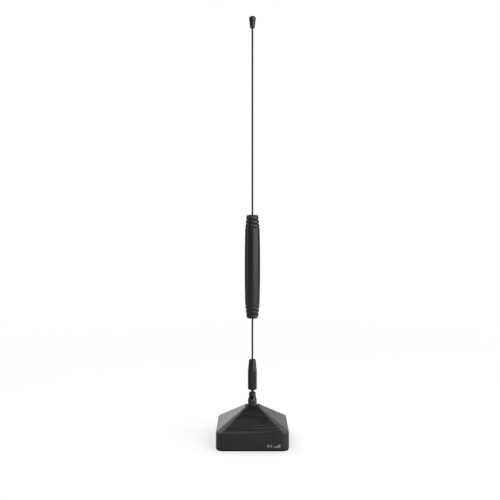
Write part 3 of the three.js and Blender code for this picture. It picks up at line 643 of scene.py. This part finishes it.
class ANTENNA_OT_studio(bpy.types.Operator):
    """Add the camera, the soft lights and the pale floor"""

    bl_idname = "antenna.studio"
    bl_label = "Studio"

    def execute(self, context):
        scene = context.scene
        studio = scene.antenna_studio
        camera = bpy.data.objects.new("camera", bpy.data.cameras.new("camera"))
        scene.collection.objects.link(camera)
        camera.data.lens = studio.lens
        camera.data.clip_start = 0.01
        camera.location = (-studio.sideways, -studio.distance, studio.height)
        camera.rotation_euler = (math.pi / 2 - studio.tilt, 0, 0)
        scene.camera = camera
        scene.view_settings.view_transform = "Standard"
        self.add_lights(scene)
        self.add_surround(scene)
        return {"FINISHED"}

    def add_lights(self, scene):
        """Soft boxes round the whip, each turned to its middle.

        A row gives the name, the compass angle (0 is behind the camera and 90 is on the right), distance,
        height, width, tallness and radiance. The power of a flat box is pi times its area times that.
        """
        boxes = [
            ("key_box", 52, 1.6, 0.45, 2.6, 1.7, 2.6),
            ("front_box", -12, 1.6, 1.4, 0.9, 1.0, 4.5),
            ("fill_box", -82, 1.6, 0.45, 0.7, 1.5, 1.1),
            ("back_left_box", -163, 2.0, 0.35, 0.8, 0.8, 1.7),
            ("back_right_box", 160, 2.0, 0.35, 0.7, 0.8, 0.75),
            ("upper_left_box", -134, 1.3, 1.7, 1.2, 1.2, 2.5),
            ("upper_right_box", 138, 1.3, 1.6, 1.0, 1.1, 2.1),
            ("top_box", 0, 0.1, 2.2, 1.6, 1.6, 0.1),
        ]
        aim = np.array([0, 0, 0.2])
        for name, compass, distance, height, width, tallness, radiance in boxes:
            light = bpy.data.lights.new(name, "AREA")
            light.shape = "RECTANGLE"
            light.size, light.size_y = width, tallness
            light.energy = math.pi * width * tallness * radiance
            lamp = bpy.data.objects.new(name, light)
            scene.collection.objects.link(lamp)
            turn = math.radians(compass)
            spot = np.array([distance * math.sin(turn), -distance * math.cos(turn), height])
            back = spot - aim
            lean = math.acos(back[2] / np.linalg.norm(back))
            lamp.location = spot
            lamp.rotation_euler = (lean, 0, math.atan2(back[0], -back[1]))
            lamp.visible_camera = False

    def add_surround(self, scene):
        """A white room seen by the camera, dimmer where it only lights, and a wide pale floor."""
        world = bpy.data.worlds.new("surround")
        scene.world = world
        world.use_nodes = True
        tree = world.node_tree
        tree.nodes.clear()
        seen = add(tree, "ShaderNodeLightPath").outputs["Is Camera Ray"]
        strength = add(tree, "ShaderNodeMapRange", Value=seen, To_Min=0.18, To_Max=1.0)
        white = add(tree, "ShaderNodeBackground", Color=(1, 1, 1, 1), Strength=strength.outputs["Result"])
        add(tree, "ShaderNodeOutputWorld", Surface=white.outputs["Background"])
        self.add_floor(scene)

    def add_floor(self, scene):
        """A floor that takes soft shadows near the whip and fades into the white room further off.

        To the camera it glows a little, so that open floor is white. To everything else it has a card of
        light on its right, which fades out between 0.5 and 0.9 m away. It lies 0.02 mm below the pad.
        """
        reach, drop = 6.0, 0.02 * MM
        mesh = bpy.data.meshes.new("floor")
        corners = [(x * reach, y * reach, -drop) for x, y in ((-1, -1), (1, -1), (1, 1), (-1, 1))]
        mesh.from_pydata(corners, [], [(0, 1, 2, 3)])
        floor = bpy.data.objects.new("floor", mesh)
        scene.collection.objects.link(floor)
        material, tree, shader = finish("matt_white_floor", scene.antenna_colours.floor, 0.9, specular=0.1)
        shader.inputs["Emission Color"].default_value = (1, 1, 1, 1)
        here = position(tree)
        away = add(tree, "ShaderNodeVectorMath", {"operation": "LENGTH"}, _0=here).outputs["Value"]
        sideways = add(tree, "ShaderNodeSeparateXYZ", Vector=here).outputs["X"]
        card = add(
            tree, "ShaderNodeMapRange", Value=sideways, From_Min=0.03, From_Max=0.3, To_Min=0.1, To_Max=1.4
        )
        fade = add(tree, "ShaderNodeMapRange", Value=away, From_Min=0.5, From_Max=0.9, To_Min=1, To_Max=0)
        bounce = maths(tree, "MULTIPLY", card.outputs["Result"], fade.outputs["Result"])
        seen = add(tree, "ShaderNodeLightPath").outputs["Is Camera Ray"]
        glow = add(tree, "ShaderNodeMix", {"data_type": "FLOAT"}, _0=seen, _2=bounce, _3=0.5)
        tree.links.new(glow.outputs[0], shader.inputs["Emission Strength"])
        smooth = {"interpolation_type": "SMOOTHSTEP"}
        far = add(tree, "ShaderNodeMapRange", smooth, Value=away, From_Min=0.4, From_Max=1.1)
        blank = maths(tree, "MULTIPLY", seen, far.outputs["Result"])
        white = add(tree, "ShaderNodeEmission", Color=(1, 1, 1, 1), Strength=1.0)
        faded = add(
            tree,
            "ShaderNodeMixShader",
            _0=blank,
            _1=shader.outputs["BSDF"],
            _2=white.outputs["Emission"],
        )
        tree.links.new(faded.outputs["Shader"], tree.nodes["Material Output"].inputs["Surface"])
        mesh.materials.append(material)


# ------------------------------------------------------------------ foot


class ANTENNA_OT_cover(bpy.types.Operator):
    """Add the foot's cover: walls, pyramid roof, hollow and holes"""

    bl_idname = "antenna.cover"
    bl_label = "Foot cover"

    def execute(self, context):
        foot = context.scene.antenna_foot
        low, high = span("base_cover")
        half, rim, top = high[0], low[2], high[2]
        wall_half = half - foot.wall_lean
        flat_half = foot.flat_width / 2
        slope = (top - foot.wall_height) / (wall_half - flat_half)
        drop = foot.thickness * math.hypot(1, slope)
        ceiling = top - foot.flat_thickness
        inner_half = half - foot.thickness
        inner_wall = wall_half - foot.thickness
        inner_height = foot.wall_height + slope * foot.thickness - drop
        inner_flat = flat_half + (foot.flat_thickness - drop) / slope
        outer_share = foot.corner_radius / half
        inner_share = (foot.corner_radius - foot.thickness) / inner_half
        inside = [(inner_flat, ceiling), (inner_wall, inner_height), (inner_half, rim)]
        outside = [(half, rim), (wall_half, foot.wall_height), (flat_half, top)]
        corners = [(h, h * inner_share, z) for h, z in inside]
        corners += [(h, h * outer_share, z) for h, z in outside]
        ends = [(foot.stud_hole, foot.stud_hole, ceiling)], [(foot.stud_hole, foot.stud_hole, top)]
        edges = [0.5 * MM, 1.0 * MM, foot.rim_edge, foot.rim_edge, foot.eave_edge, foot.flat_edge]
        rings = square_rings(fillet([*ends[0], *corners, *ends[1]], edges))
        for row, neighbour in ((0, 1), (-1, -2)):
            plan = rings[neighbour, :, :2]
            rings[row, :, :2] = foot.stud_hole * plan / np.linalg.norm(plan, axis=1, keepdims=True)
        made = piece("cover_shell", rings, get_finish("plastic"), closed=True)
        self.cut_bushing_hole(made, foot)
        self.brush_roof(made, foot)
        place(made, "foot", "black_plastic", "base_cover")
        return {"FINISHED"}

    def cut_bushing_hole(self, made, foot):
        """The rear wall's stepped hole: a sink for the bushing's flange and a hole for its neck."""
        low, high = span("cable_gland")
        seat = high[1] - 1.0 * MM
        neck, sink = 2.8 * MM, foot.gland_sink
        depth = seat - low[1] + 2 * MM
        stepped = [(neck, -depth), (neck, 0), (sink, 0), (sink, 3 * MM)]
        centre = (0, seat, (low[2] + high[2]) / 2)
        rings = along_y(turned(stepped, 48, CUTTER_PHASE), centre)
        cutter = piece("bushing_hole", rings, get_finish("plastic"))
        carve(made, [cutter])

    def brush_roof(self, made, foot):
        """Gives the faces of the four outer slopes the hairline finish, by their height and tilt."""
        mesh = made.data
        mesh.materials.append(get_finish("roof"))
        count = len(mesh.polygons)
        normals, centres = np.empty(count * 3), np.empty(count * 3)
        mesh.polygons.foreach_get("normal", normals)
        mesh.polygons.foreach_get("center", centres)
        upward = normals.reshape(-1, 3)[:, 2]
        height = centres.reshape(-1, 3)[:, 2]
        sloping = (upward > 0.5) & (upward < 0.95) & (height > foot.wall_height)
        mesh.polygons.foreach_set("material_index", sloping.astype(np.int32))


class ANTENNA_OT_pad(bpy.types.Operator):
    """Add the non-slip pad under the foot"""

    bl_idname = "antenna.pad"
    bl_label = "Foot pad"

    def execute(self, context):
        foot = context.scene.antenna_foot
        low, high = span("foot_pad")
        half = high[0]
        radius = foot.corner_radius - (span("base_cover")[1][0] - half)
        margin = 3 * MM
        outline = [(half - margin, low[2]), (half, low[2]), (half, high[2]), (half - margin, high[2])]
        rows = [(h, radius - (half - h), z) for h, z in outline]
        rings = square_rings(fillet(rows, [foot.pad_edge, foot.pad_edge], lead=0.1 * MM))
        made = piece("foot_pad_sheet", rings, get_finish("rubber"))
        place(made, "foot", "pad_rubber", "foot_pad")
        return {"FINISHED"}


class ANTENNA_OT_bushing(bpy.types.Operator):
    """Add the cable bushing in the rear wall"""

    bl_idname = "antenna.bushing"
    bl_label = "Cable bushing"

    def execute(self, context):
        low, high = span("cable_gland")
        flange = (high[0] - low[0]) / 2
        bore, neck, inner = 1.6 * MM, 2.7 * MM, flange - 0.3 * MM
        face, back = high[1], low[1]
        outer_seat, inner_seat = face - 0.9 * MM, back + 0.9 * MM
        profile = [
            (bore, (face + back) / 2),
            (bore, back),
            (inner, back),
            (inner, inner_seat),
            (neck, inner_seat),
            (neck, outer_seat),
            (flange, outer_seat),
            (flange, face),
            (bore, face),
        ]
        edges = [0.25 * MM, 0.3 * MM, 0.1 * MM, 0.1 * MM, 0.1 * MM, 0.05 * MM, 0.35 * MM]
        rounded = fillet(profile + [profile[0]], [*edges, 0.4 * MM], steps=5, lead=0.02 * MM)[:-1]
        centre = (0, 0, (low[2] + high[2]) / 2)
        made = piece("gland_bushing", along_y(turned(rounded), centre), get_finish("rubber"), closed=True)
        place(made, "foot", "pad_rubber", "cable_gland")
        return {"FINISHED"}


class ANTENNA_OT_mark(bpy.types.Operator):
    """Add the small printed pictogram on the front wall"""

    bl_idname = "antenna.mark"
    bl_label = "Printed mark"

    def execute(self, context):
        foot = context.scene.antenna_foot
        stacks = [*self.waves(), *self.bars()]
        low, high = span("base_cover")
        for stack in stacks:
            climb = (stack[..., 2] - low[2]) / (foot.wall_height - low[2])
            stack[..., 1] -= high[0] - foot.wall_lean * climb
        made = piece("front_mark", stacks, get_finish("ink"))
        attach(made, "foot")
        return {"FINISHED"}

    def prism(self, outline):
        """A thin slab of ink over an outline in x and z, walked anticlockwise as seen from the front."""
        ink = 0.025 * MM
        stack = np.empty((2, len(outline), 3))
        stack[..., 0], stack[..., 2] = outline[:, 0], outline[:, 1]
        stack[:, :, 1] = [[ink], [-ink]]
        return stack

    def waves(self):
        """Two broadcast arcs on each side of a dot: bands of constant radius and width."""
        centre = np.array([18.6, 5.8]) * MM
        dot, half_band = 0.5 * MM, 0.22 * MM
        turn = np.linspace(0, 2 * math.pi, 24, endpoint=False)
        made = [self.prism(centre + dot * circle(turn))]
        sweep = np.linspace(-0.85, 0.85, 14)
        for middle in (1.35 * MM, 2.35 * MM):
            for side in (0, math.pi):
                outer, inner = middle + half_band, middle - half_band
                arc = circle(sweep + side)
                made.append(self.prism(centre + np.concatenate([arc * outer, arc[::-1] * inner])))
        return made

    def bars(self):
        """Five bars that rise to the right from one base line."""
        first, pitch, width = 22.9 * MM, 1.55 * MM, 0.85 * MM
        base, shortest, step = 4.1 * MM, 0.9 * MM, 0.65 * MM
        made = []
        for i in range(5):
            left, top = first + pitch * i, base + shortest + step * i
            right = left + width
            made.append(self.prism(np.array([(left, base), (right, base), (right, top), (left, top)])))
        return made


# ------------------------------------------------------------------ hinge


class ANTENNA_OT_fork(bpy.types.Operator):
    """Add the turned fork and the washer under its collar"""

    bl_idname = "antenna.fork"
    bl_label = "Fork"

    def execute(self, context):
        hinge = context.scene.antenna_hinge
        low, high = span("fork")
        collar = high[0]
        washer_low, washer_high = span("foot_washer")
        seat = washer_high[2] + 0.02 * MM
        shoulder = seat + hinge.collar_height
        neck = shoulder + hinge.shoulder
        head = high[2] - hinge.dome_height
        stud = 2.5 * MM
        rise = np.linspace(0, 1, 9)[1:, None]
        lower_bow = hinge.neck_radius + (hinge.head_radius - hinge.neck_radius) * rise**0.75
        bow = np.hstack([lower_bow, neck + (head - neck) * rise])
        turn = np.linspace(0, math.pi / 2, 12)[1:]
        dome = np.stack([hinge.head_radius * np.cos(turn), head + hinge.dome_height * np.sin(turn)], axis=-1)
        dome[-1, 0] = DOME_END
        stem = [(0.8 * stud, low[2]), (stud, low[2] + 0.5 * MM), (stud, seat), (collar, seat)]
        turned_part = [*stem, (collar, shoulder), (hinge.neck_radius, neck), tuple(bow[0])]
        edges = [0, 0.1 * MM, 0.35 * MM, 0.25 * MM, 0.4 * MM]
        profile = np.concatenate([fillet(turned_part, edges, lead=0.05 * MM), bow[1:], dome])
        made = piece("fork_body", turned(profile, 96), get_finish("plated"))
        self.cut_openings(made, hinge, high[2])
        place(made, "turret", "black_metal", "fork")
        self.add_washer(washer_low, washer_high)
        return {"FINISHED"}

    def cut_openings(self, made, hinge, top):
        """The slot with a blind hole at each end of its foot, the pivot's hole and its heads' sunk seats."""
        pivot = PIVOT
        foot_of_slot = top - hinge.slot_depth
        reach = 12 * MM
        # Cut faces of the slot, relief holes, pivot hole and barrel get the milled finish: partly painted
        # shade inside these recesses
        milled_and_shade, metal = get_finish("milled_and_shade"), get_finish("plated")
        slot = piece("slot_cutter", bar(hinge.slot_width, reach, foot_of_slot, top + MM), milled_and_shade)
        blind = span("fork")[1][0] - hinge.relief_depth
        across = turned([(hinge.relief_radius, blind), (hinge.relief_radius, reach)], 40, CUTTER_PHASE)
        centre = (0, 0, foot_of_slot)
        relief_holes = [along_y(across, centre), along_y(across) * (-1, -1, 1) + centre]
        bore = hinge.pivot_radius + 0.05 * MM
        through = along_x(turned([(bore, -reach / 2), (bore, reach / 2)], 40, CUTTER_PHASE), pivot)
        seat_radius = hinge.pivot_head + 0.1 * MM
        sunk = turned([(seat_radius, hinge.pivot_seat), (seat_radius, reach / 2)], 56, CUTTER_PHASE)
        barrel_radius = hinge.pivot_radius + 0.6 * MM
        barrel = turned([(barrel_radius, 1.2 * MM), (barrel_radius, reach / 2)], 40, CUTTER_PHASE)
        carve(made, [slot, *(piece("relief_cutter", rings, milled_and_shade) for rings in relief_holes)])
        bevel = made.modifiers.new("broken_edges", "BEVEL")
        bevel.width, bevel.segments = 0.12 * MM, 2
        bevel.limit_method, bevel.angle_limit = "ANGLE", math.radians(50)
        bevel.use_clamp_overlap = True
        apply_modifiers(made)
        cutters = [
            piece("pivot_cutter", through, milled_and_shade),
            piece("right_seat_cutter", along_x(sunk, pivot), metal),
            piece("left_seat_cutter", along_x(sunk, pivot, flip=True), metal),
            piece("barrel_cutter", along_x(barrel, pivot, flip=True), milled_and_shade),
        ]
        carve(made, cutters)

    def add_washer(self, low, high):
        """The nylon washer between collar and roof flat."""
        bore = 2.6 * MM
        profile = ring_profile(bore, low, high, edge=0.1 * MM, lead=0.02 * MM)
        made = piece("foot_washer_ring", turned(profile), get_finish("washer"), closed=True)
        place(made, "turret", "nylon", "foot_washer")


class ANTENNA_OT_pivot(bpy.types.Operator):
    """Add the pivot screw and its nut"""

    bl_idname = "antenna.pivot"
    bl_label = "Pivot screw and nut"

    def execute(self, context):
        hinge = context.scene.antenna_hinge
        self.add_screw(hinge)
        self.add_nut(hinge)
        return {"FINISHED"}

    def crown(self, hinge, face):
        """A head's crowned end: a flat rim with a rounded edge, then a shallow arc up to the middle."""
        share = np.linspace(0, 1, 7)
        middle_flat, rise = 0.02 * hinge.pivot_head, 0.22 * MM
        radius = hinge.pivot_head + (middle_flat - hinge.pivot_head) * share
        return np.stack([radius, face - rise * (1 - share) ** 2], axis=-1)

    def add_screw(self, hinge):
        low, high = span("pivot_screw")
        seat, end = hinge.pivot_seat + 0.02 * MM, low[0]
        shank = hinge.pivot_radius
        run = [(0.7 * shank, end), (shank, end + 0.3 * MM), (shank, seat), (hinge.pivot_head, seat)]
        self.turn_part(hinge, "pivot_screw", run, [0, 0.05 * MM, 0.1 * MM], high[0], 0.45 * MM)

    def add_nut(self, hinge):
        low, high = span("pivot_nut")
        face, seat, end = -low[0], hinge.pivot_seat + 0.02 * MM, -high[0]
        bore = hinge.pivot_radius + 0.1 * MM
        barrel = bore + 0.4 * MM
        run = [(bore, face - 0.6 * MM), (bore, end), (barrel, end), (barrel, seat), (hinge.pivot_head, seat)]
        self.turn_part(hinge, "pivot_nut", run, [0.05 * MM] * 4, face, 0.3 * MM, flip=True)

    def turn_part(self, hinge, node, run, edges, face, drive, flip=False):
        """Turns a part about the pivot, with its head's crown, and cuts the drive slot to its depth."""
        centre = (0, 0, PIVOT[2])
        crown = self.crown(hinge, face)
        rounded = fillet([*run, tuple(crown[0])], edges, lead=0.02 * MM)
        rings = turned(np.concatenate([rounded, crown[1:]]), 64)
        made = piece(f"{node}_turned", along_x(rings, centre, flip), get_finish("plated"))
        slot = along_x(bar(0.6 * MM, 3 * hinge.pivot_head, face - drive, face + MM), centre, flip)
        carve(made, [piece("drive_slot", slot, get_finish("plated"))])
        place(made, "turret", "black_metal", node)


class ANTENNA_OT_tongue(bpy.types.Operator):
    """Add the hinge tongue: a flat blade with a threaded stem"""

    bl_idname = "antenna.tongue"
    bl_label = "Hinge tongue"

    def execute(self, context):
        hinge = context.scene.antenna_hinge
        low, high = span("hinge_tongue")
        half_width, foot_z = high[1], low[2]
        top = span("whip_ferrule")[0][2] - 0.1 * MM
        blade = self.blade(hinge.blade_thickness / 2, half_width, top)
        made = piece("tongue_blade", blade, get_finish("plated"))
        stem = self.stem(hinge.stem_radius, top, high[2])
        joined = piece("stem", stem, get_finish("plated"))
        carve(made, [joined], "UNION")
        bore = hinge.pivot_radius + 0.05 * MM
        hole = along_x(turned([(bore, -5 * MM), (bore, 5 * MM)], 40), (0, 0, foot_z + half_width))
        carve(made, [piece("pivot_bore", hole, get_finish("plated"))])
        place(made, "whip", "black_metal", "hinge_tongue")
        return {"FINISHED"}

    def blade(self, half_thickness, half_width, top):
        """Offset outlines of the blade, stacked across its thickness.

        The outline is a half circle about the pivot with two straight sides; it is pulled in by a quarter
        circle near both faces, which breaks the edges.
        """
        pivot = PIVOT[2]
        arc = circle(np.linspace(math.pi, 2 * math.pi, 33))
        edge = 0.25 * MM
        swing = np.linspace(0, math.pi / 2, 5)
        inset = np.concatenate([edge * (1 - np.sin(swing)), edge * (1 - np.sin(swing))[::-1]])
        across = np.concatenate([-half_thickness + edge * (1 - np.cos(swing)),
                                 half_thickness - edge * (1 - np.cos(swing))[::-1]])
        reach = (half_width - inset)[:, None]
        low_part = reach[..., None] * arc + (0, pivot)
        upper = np.array([(1, 0.5), (1, 1), (-1, 1), (-1, 0.5)])
        sides = np.empty((len(reach), 4, 2))
        sides[..., 0] = upper[:, 0] * reach
        sides[..., 1] = pivot + (top - inset[:, None] - pivot) * upper[:, 1]
        outline = np.concatenate([low_part, sides], axis=1)
        rings = np.empty((*outline.shape[:2], 3))
        rings[..., 0] = across[:, None]
        rings[..., 1:] = outline
        return rings

    def stem(self, radius, bottom, top):
        """A screw thread: the radius falls and rises once a pitch, as a rounded wave along the stem."""
        pitch, depth = 0.5 * MM, 0.24 * MM
        root = radius - 0.3 * MM
        height = np.arange(bottom + 0.4 * MM, top - 0.5 * MM, pitch / 6)
        wave = radius - depth / 2 * (1 - np.cos(2 * math.pi * (height - bottom) / pitch))
        neck = [(root, bottom - 0.8 * MM), (root, bottom + 0.3 * MM)]
        return turned([*neck, *zip(wave, height), (0.6 * radius, top)], 32)


# ------------------------------------------------------------------ whip


class ANTENNA_OT_ferrule(bpy.types.Operator):
    """Add the ribbed ferrule"""

    bl_idname = "antenna.ferrule"
    bl_label = "Ferrule"

    def execute(self, context):
        whip = context.scene.antenna_whip
        low, high = span("whip_ferrule")
        bottom, top = low[2], high[2]
        radius = 5.13 * MM
        cone, ribbed = bottom + whip.cone_height, bottom + whip.cone_height + whip.ribbed_length
        stem_hole, stem_end, rod_end = 1.6 * MM, bottom + 13 * MM, top - 15.1 * MM
        outline = [
            (HOLE_END, stem_end),
            (stem_hole, stem_end),
            (stem_hole, bottom),
            (whip.tip_radius, bottom),
            (radius, cone),
            (radius, ribbed),
            (whip.taper_radius, top),
            (ROD_HOLE, top),
            (ROD_HOLE, rod_end),
            (HOLE_END, rod_end),
        ]
        edges = [0, 0.15 * MM, 0.2 * MM, 0.5 * MM, 2.5 * MM, 0.55 * MM, 0.15 * MM, 0]
        profile = fillet(outline, edges, steps=8, lead=0.1 * MM)
        profile = self.with_stations(profile, radius, cone, ribbed)
        rings = turned(profile, 16 * whip.rib_count)
        self.press_ribs(rings, profile, whip, radius, cone, ribbed)
        made = piece("ferrule_body", rings, get_finish("plated"), smooth=50)
        # Painted shade: the grooves' inner halves are coloured near-black, darker than the ribs' plating
        self.dull_and_shade_grooves(made, whip, cone, ribbed)
        place(made, "whip", "black_metal", "whip_ferrule")
        return {"FINISHED"}

    def dull_and_shade_grooves(self, made, whip, cone, ribbed):
        """Gives the inner half of each groove the dull finish of a face that polishing doesn't reach, in a
        near-black colour: partly the dull face, partly painted shade in the grooves.
        """
        mesh = made.data
        mesh.materials.append(get_finish("milled_and_shade"))
        centres = np.empty(len(mesh.polygons) * 3)
        mesh.polygons.foreach_get("center", centres)
        x, y, height = centres.reshape(-1, 3).T
        turn = np.arctan2(y, x) / (2 * math.pi)
        inner = (self.groove(turn, whip.rib_count) > 0.5) & (height > cone) & (height < ribbed)
        outside = np.hypot(x, y) > whip.taper_radius
        mesh.polygons.foreach_set("material_index", (inner & outside).astype(np.int32))

    def groove(self, turn, count):
        """Depth share of the grooves at a share of a turn: a raised cosine to the power 1.5.

        The quarter turn puts one groove in front.
        """
        return (0.5 + 0.5 * np.cos((turn + 0.25) * count * 2 * math.pi)) ** 1.5

    def with_stations(self, profile, radius, cone, ribbed):
        """The profile with extra rows up the ribbed stretch, where the grooves fade in and out."""
        start = int(np.argmax((profile[:, 0] > radius - 1e-9) & (profile[:, 1] > cone)))
        heights = np.linspace(profile[start, 1], profile[start + 1, 1], 26)[1:-1]
        rows = np.stack([np.full(len(heights), radius), heights], axis=-1)
        return np.insert(profile, start + 1, rows, axis=0)

    def press_ribs(self, rings, profile, whip, radius, cone, ribbed):
        """Cuts grooves between the ribs.

        The depth is rib_depth times the groove's share, and times a ramp. The ramp rises over 1 mm, and is
        full 0.2 mm below the cone's edge. It falls over 1.8 mm, and is gone 1 mm past the ribbed stretch.
        """
        steps = rings.shape[1]
        groove = self.groove(np.arange(steps) / steps, whip.rib_count)
        height = profile[:, 1]
        ramp = np.clip((height - cone + 1.2 * MM) / (1.0 * MM), 0, 1)
        ramp *= np.clip((ribbed + 1.0 * MM - height) / (1.8 * MM), 0, 1)
        ramp *= profile[:, 0] > whip.taper_radius
        shrink = 1 - whip.rib_depth * ramp[:, None] * groove / profile[:, :1]
        rings[..., :2] *= shrink[..., None]


class ANTENNA_OT_rods(bpy.types.Operator):
    """Add the two wire rods"""

    bl_idname = "antenna.rods"
    bl_label = "Wire rods"

    def execute(self, context):
        for name, node in (("lower_rod_wire", "lower_rod"), ("upper_rod_wire", "upper_rod")):
            low, high = span(node)
            radius, bottom, top = high[0], low[2], high[2]
            edge = 0.25 * MM
            heights = np.linspace(bottom + edge, top - edge, 24)
            column = np.stack([np.full(24, radius), heights], axis=-1)
            profile = np.concatenate([[(radius - edge, bottom)], column, [(radius - edge, top)]])
            made = piece(name, turned(profile, 32), get_finish("wire_rod"))
            place(made, "whip", "black_metal", node)
        return {"FINISHED"}


class ANTENNA_OT_sleeve(bpy.types.Operator):
    """Add the barrel sleeve with its bead rings, and the plugs in its ends"""

    bl_idname = "antenna.sleeve"
    bl_label = "Sleeve"

    def execute(self, context):
        whip = context.scene.antenna_whip
        low, high = span("grip_sleeve")
        middle, half = (low[2] + high[2]) / 2, (high[2] - low[2]) / 2
        end_run = self.end_run(whip)
        body_half = half - end_run[-1, 1]
        share = np.linspace(-1, 1, 49)[1:-1]
        barrel = high[0] - (high[0] - whip.sleeve_end_radius) * share**2
        body = np.stack([barrel, middle + share * body_half], axis=-1)
        lower = end_run + (0, middle - half)
        upper = (end_run * (1, -1) + (0, middle + half))[::-1]
        bore = [(whip.sleeve_bore, middle)]
        profile = np.concatenate([bore, lower, body, upper])
        made = piece("sleeve_body", turned(profile, 96), get_finish("grip_plastic"), closed=True)
        place(made, "whip", "black_plastic", "grip_sleeve")
        self.add_plugs()
        return {"FINISHED"}

    def end_run(self, whip):
        """(radius, distance from the end face) rows of one end.

        Within a bead's pitch the radius is its crown less groove_depth times the fourth power of the
        distance from the bead's middle, so crowns are broad and grooves narrow; crowns grow inward by
        bead_step. A rounded edge leads in from the end face, and another up to the smooth body.
        """
        phase = np.linspace(-1, 1, 21)
        rows = []
        for i in range(whip.bead_count):
            crown = whip.first_bead + whip.bead_step * (i + phase / 2)
            radius = crown - whip.groove_depth * phase**4
            rows.append(np.stack([radius, whip.bead_inset + whip.bead_pitch * (i + phase / 2)], axis=-1)[1:])
        beads = np.concatenate(rows)
        start = beads[0]
        turn = np.linspace(-math.pi / 2, 0, 6)[:, None]
        edge = 0.5 * MM
        lead_in = np.hstack([start[0] - edge + edge * np.cos(turn), edge + edge * np.sin(turn)])
        mouth = [(whip.sleeve_bore, 0.25 * MM), (whip.sleeve_bore + 0.25 * MM, 0)]
        last = beads[-1]
        corner = 0.9 * MM
        turn = np.linspace(0, math.pi / 2, 8)[1:, None]
        lead_out = np.hstack([
            last[0] + (whip.sleeve_end_radius - last[0]) * np.sin(turn),
            last[1] + corner * (1 - np.cos(turn)),
        ])
        return np.concatenate([mouth, lead_in, beads, lead_out])

    def add_plugs(self):
        """A plug in each end: a ring with rounded edges round the rod's hole."""
        for end in ("upper", "lower"):
            name, node = f"sleeve_plug_{end}", f"grip_plug_{end}"
            profile = ring_profile(ROD_HOLE, *span(node), edge=0.2 * MM, lead=0.05 * MM)
            made = piece(name, turned(profile, 64), get_finish("plastic"), closed=True)
            place(made, "whip", "black_plastic", node)


class ANTENNA_OT_cap(bpy.types.Operator):
    """Add the tip cap"""

    bl_idname = "antenna.cap"
    bl_label = "Tip cap"

    def execute(self, context):
        whip = context.scene.antenna_whip
        low, high = span("tip_cap")
        bottom, top, widest = low[2], high[2], high[0]
        dome = top - whip.cap_dome
        depth = 8.6 * MM
        flare_start = bottom + 1.0 * MM
        share = np.linspace(0, 1, 17)[:, None]
        flare = np.hstack([
            whip.cap_mouth + (widest - whip.cap_mouth) * share**whip.cap_flare,
            flare_start + (dome - flare_start) * share,
        ])
        turn = np.linspace(0, math.pi / 2, 16)[1:, None]
        crown = np.hstack([widest * np.cos(turn), dome + whip.cap_dome * np.sin(turn)])
        crown[-1, 0] = DOME_END
        blind = [(HOLE_END, bottom + depth), (ROD_HOLE, bottom + depth), (ROD_HOLE, bottom)]
        run = [*blind, (whip.cap_mouth, bottom)]
        rounded = fillet([*run, tuple(flare[0])], [0, 0.15 * MM, 0.4 * MM], lead=0.05 * MM)
        profile = np.concatenate([rounded, flare[1:], crown])
        made = piece("tip_cap_body", turned(profile, 72), get_finish("grip_plastic"))
        place(made, "whip", "black_plastic", "tip_cap")
        return {"FINISHED"}


# ------------------------------------------------------------------ pieces carried over from the frame


INNER_FINISHES = {
    "plastic": ["base_plate"],
    "steel": ["plate_screw_1", "plate_screw_2", "plate_screw_3", "plate_screw_4", "pole_cup",
              "board_screw_1", "board_screw_2", "wave_washer", "stud_nut"],
    "ferrite": ["magnet_ring", "transformer_core"],
    "board": ["matching_board"],
    "copper": ["transformer_winding", "loading_coil"],
    "chip": ["chip_capacitor_1", "chip_capacitor_2"],
    "brass": ["contact_lug", "coil_bush_upper", "coil_bush_lower"],
    "insulation": ["feed_wire"],
    "nylon": ["coil_former"],
}


class ANTENNA_OT_inner(bpy.types.Operator):
    """Finish the inner pieces that keep their frame shape"""

    bl_idname = "antenna.inner"
    bl_label = "Inner pieces"

    def execute(self, context):
        for name, nodes in INNER_FINISHES.items():
            for node in nodes:
                for slot in frame["nodes"][node].material_slots:
                    slot.material = get_finish(name)
        return {"FINISHED"}


GROUPS = {
    "antenna_foot": AntennaFoot,
    "antenna_hinge": AntennaHinge,
    "antenna_whip": AntennaWhip,
    "antenna_colours": AntennaColours,
    "antenna_studio": AntennaStudio,
}
OPERATORS = [
    ANTENNA_OT_studio,
    ANTENNA_OT_cover,
    ANTENNA_OT_pad,
    ANTENNA_OT_bushing,
    ANTENNA_OT_mark,
    ANTENNA_OT_fork,
    ANTENNA_OT_pivot,
    ANTENNA_OT_tongue,
    ANTENNA_OT_ferrule,
    ANTENNA_OT_rods,
    ANTENNA_OT_sleeve,
    ANTENNA_OT_cap,
    ANTENNA_OT_inner,
]


class ANTENNA_PT_panel(bpy.types.Panel):
    """Lists the antenna's pieces in the sidebar"""

    bl_idname = "ANTENNA_PT_panel"
    bl_label = "Table antenna"
    bl_space_type = "VIEW_3D"
    bl_region_type = "UI"
    bl_category = "Antenna"

    def draw(self, context):
        for operator in OPERATORS:
            self.layout.operator(operator.bl_idname)
        for name, group in GROUPS.items():
            box = self.layout.box()
            for key in group.__annotations__:
                box.prop(getattr(context.scene, name), key)


def register():
    """Registers the groups of settings, the operators and the panel."""
    for name, group in GROUPS.items():
        bpy.utils.register_class(group)
        setattr(bpy.types.Scene, name, PointerProperty(type=group))
    for operator in OPERATORS:
        bpy.utils.register_class(operator)
    bpy.utils.register_class(ANTENNA_PT_panel)


def unregister():
    """Removes what register added."""
    bpy.utils.unregister_class(ANTENNA_PT_panel)
    for operator in reversed(OPERATORS):
        bpy.utils.unregister_class(operator)
    for name, group in GROUPS.items():
        delattr(bpy.types.Scene, name)
        bpy.utils.unregister_class(group)


def main():
    """Builds everything in order."""
    register()
    for operator in OPERATORS:
        group, name = operator.bl_idname.split(".")
        getattr(getattr(bpy.ops, group), name)()


if __name__ == "__main__":
    main()
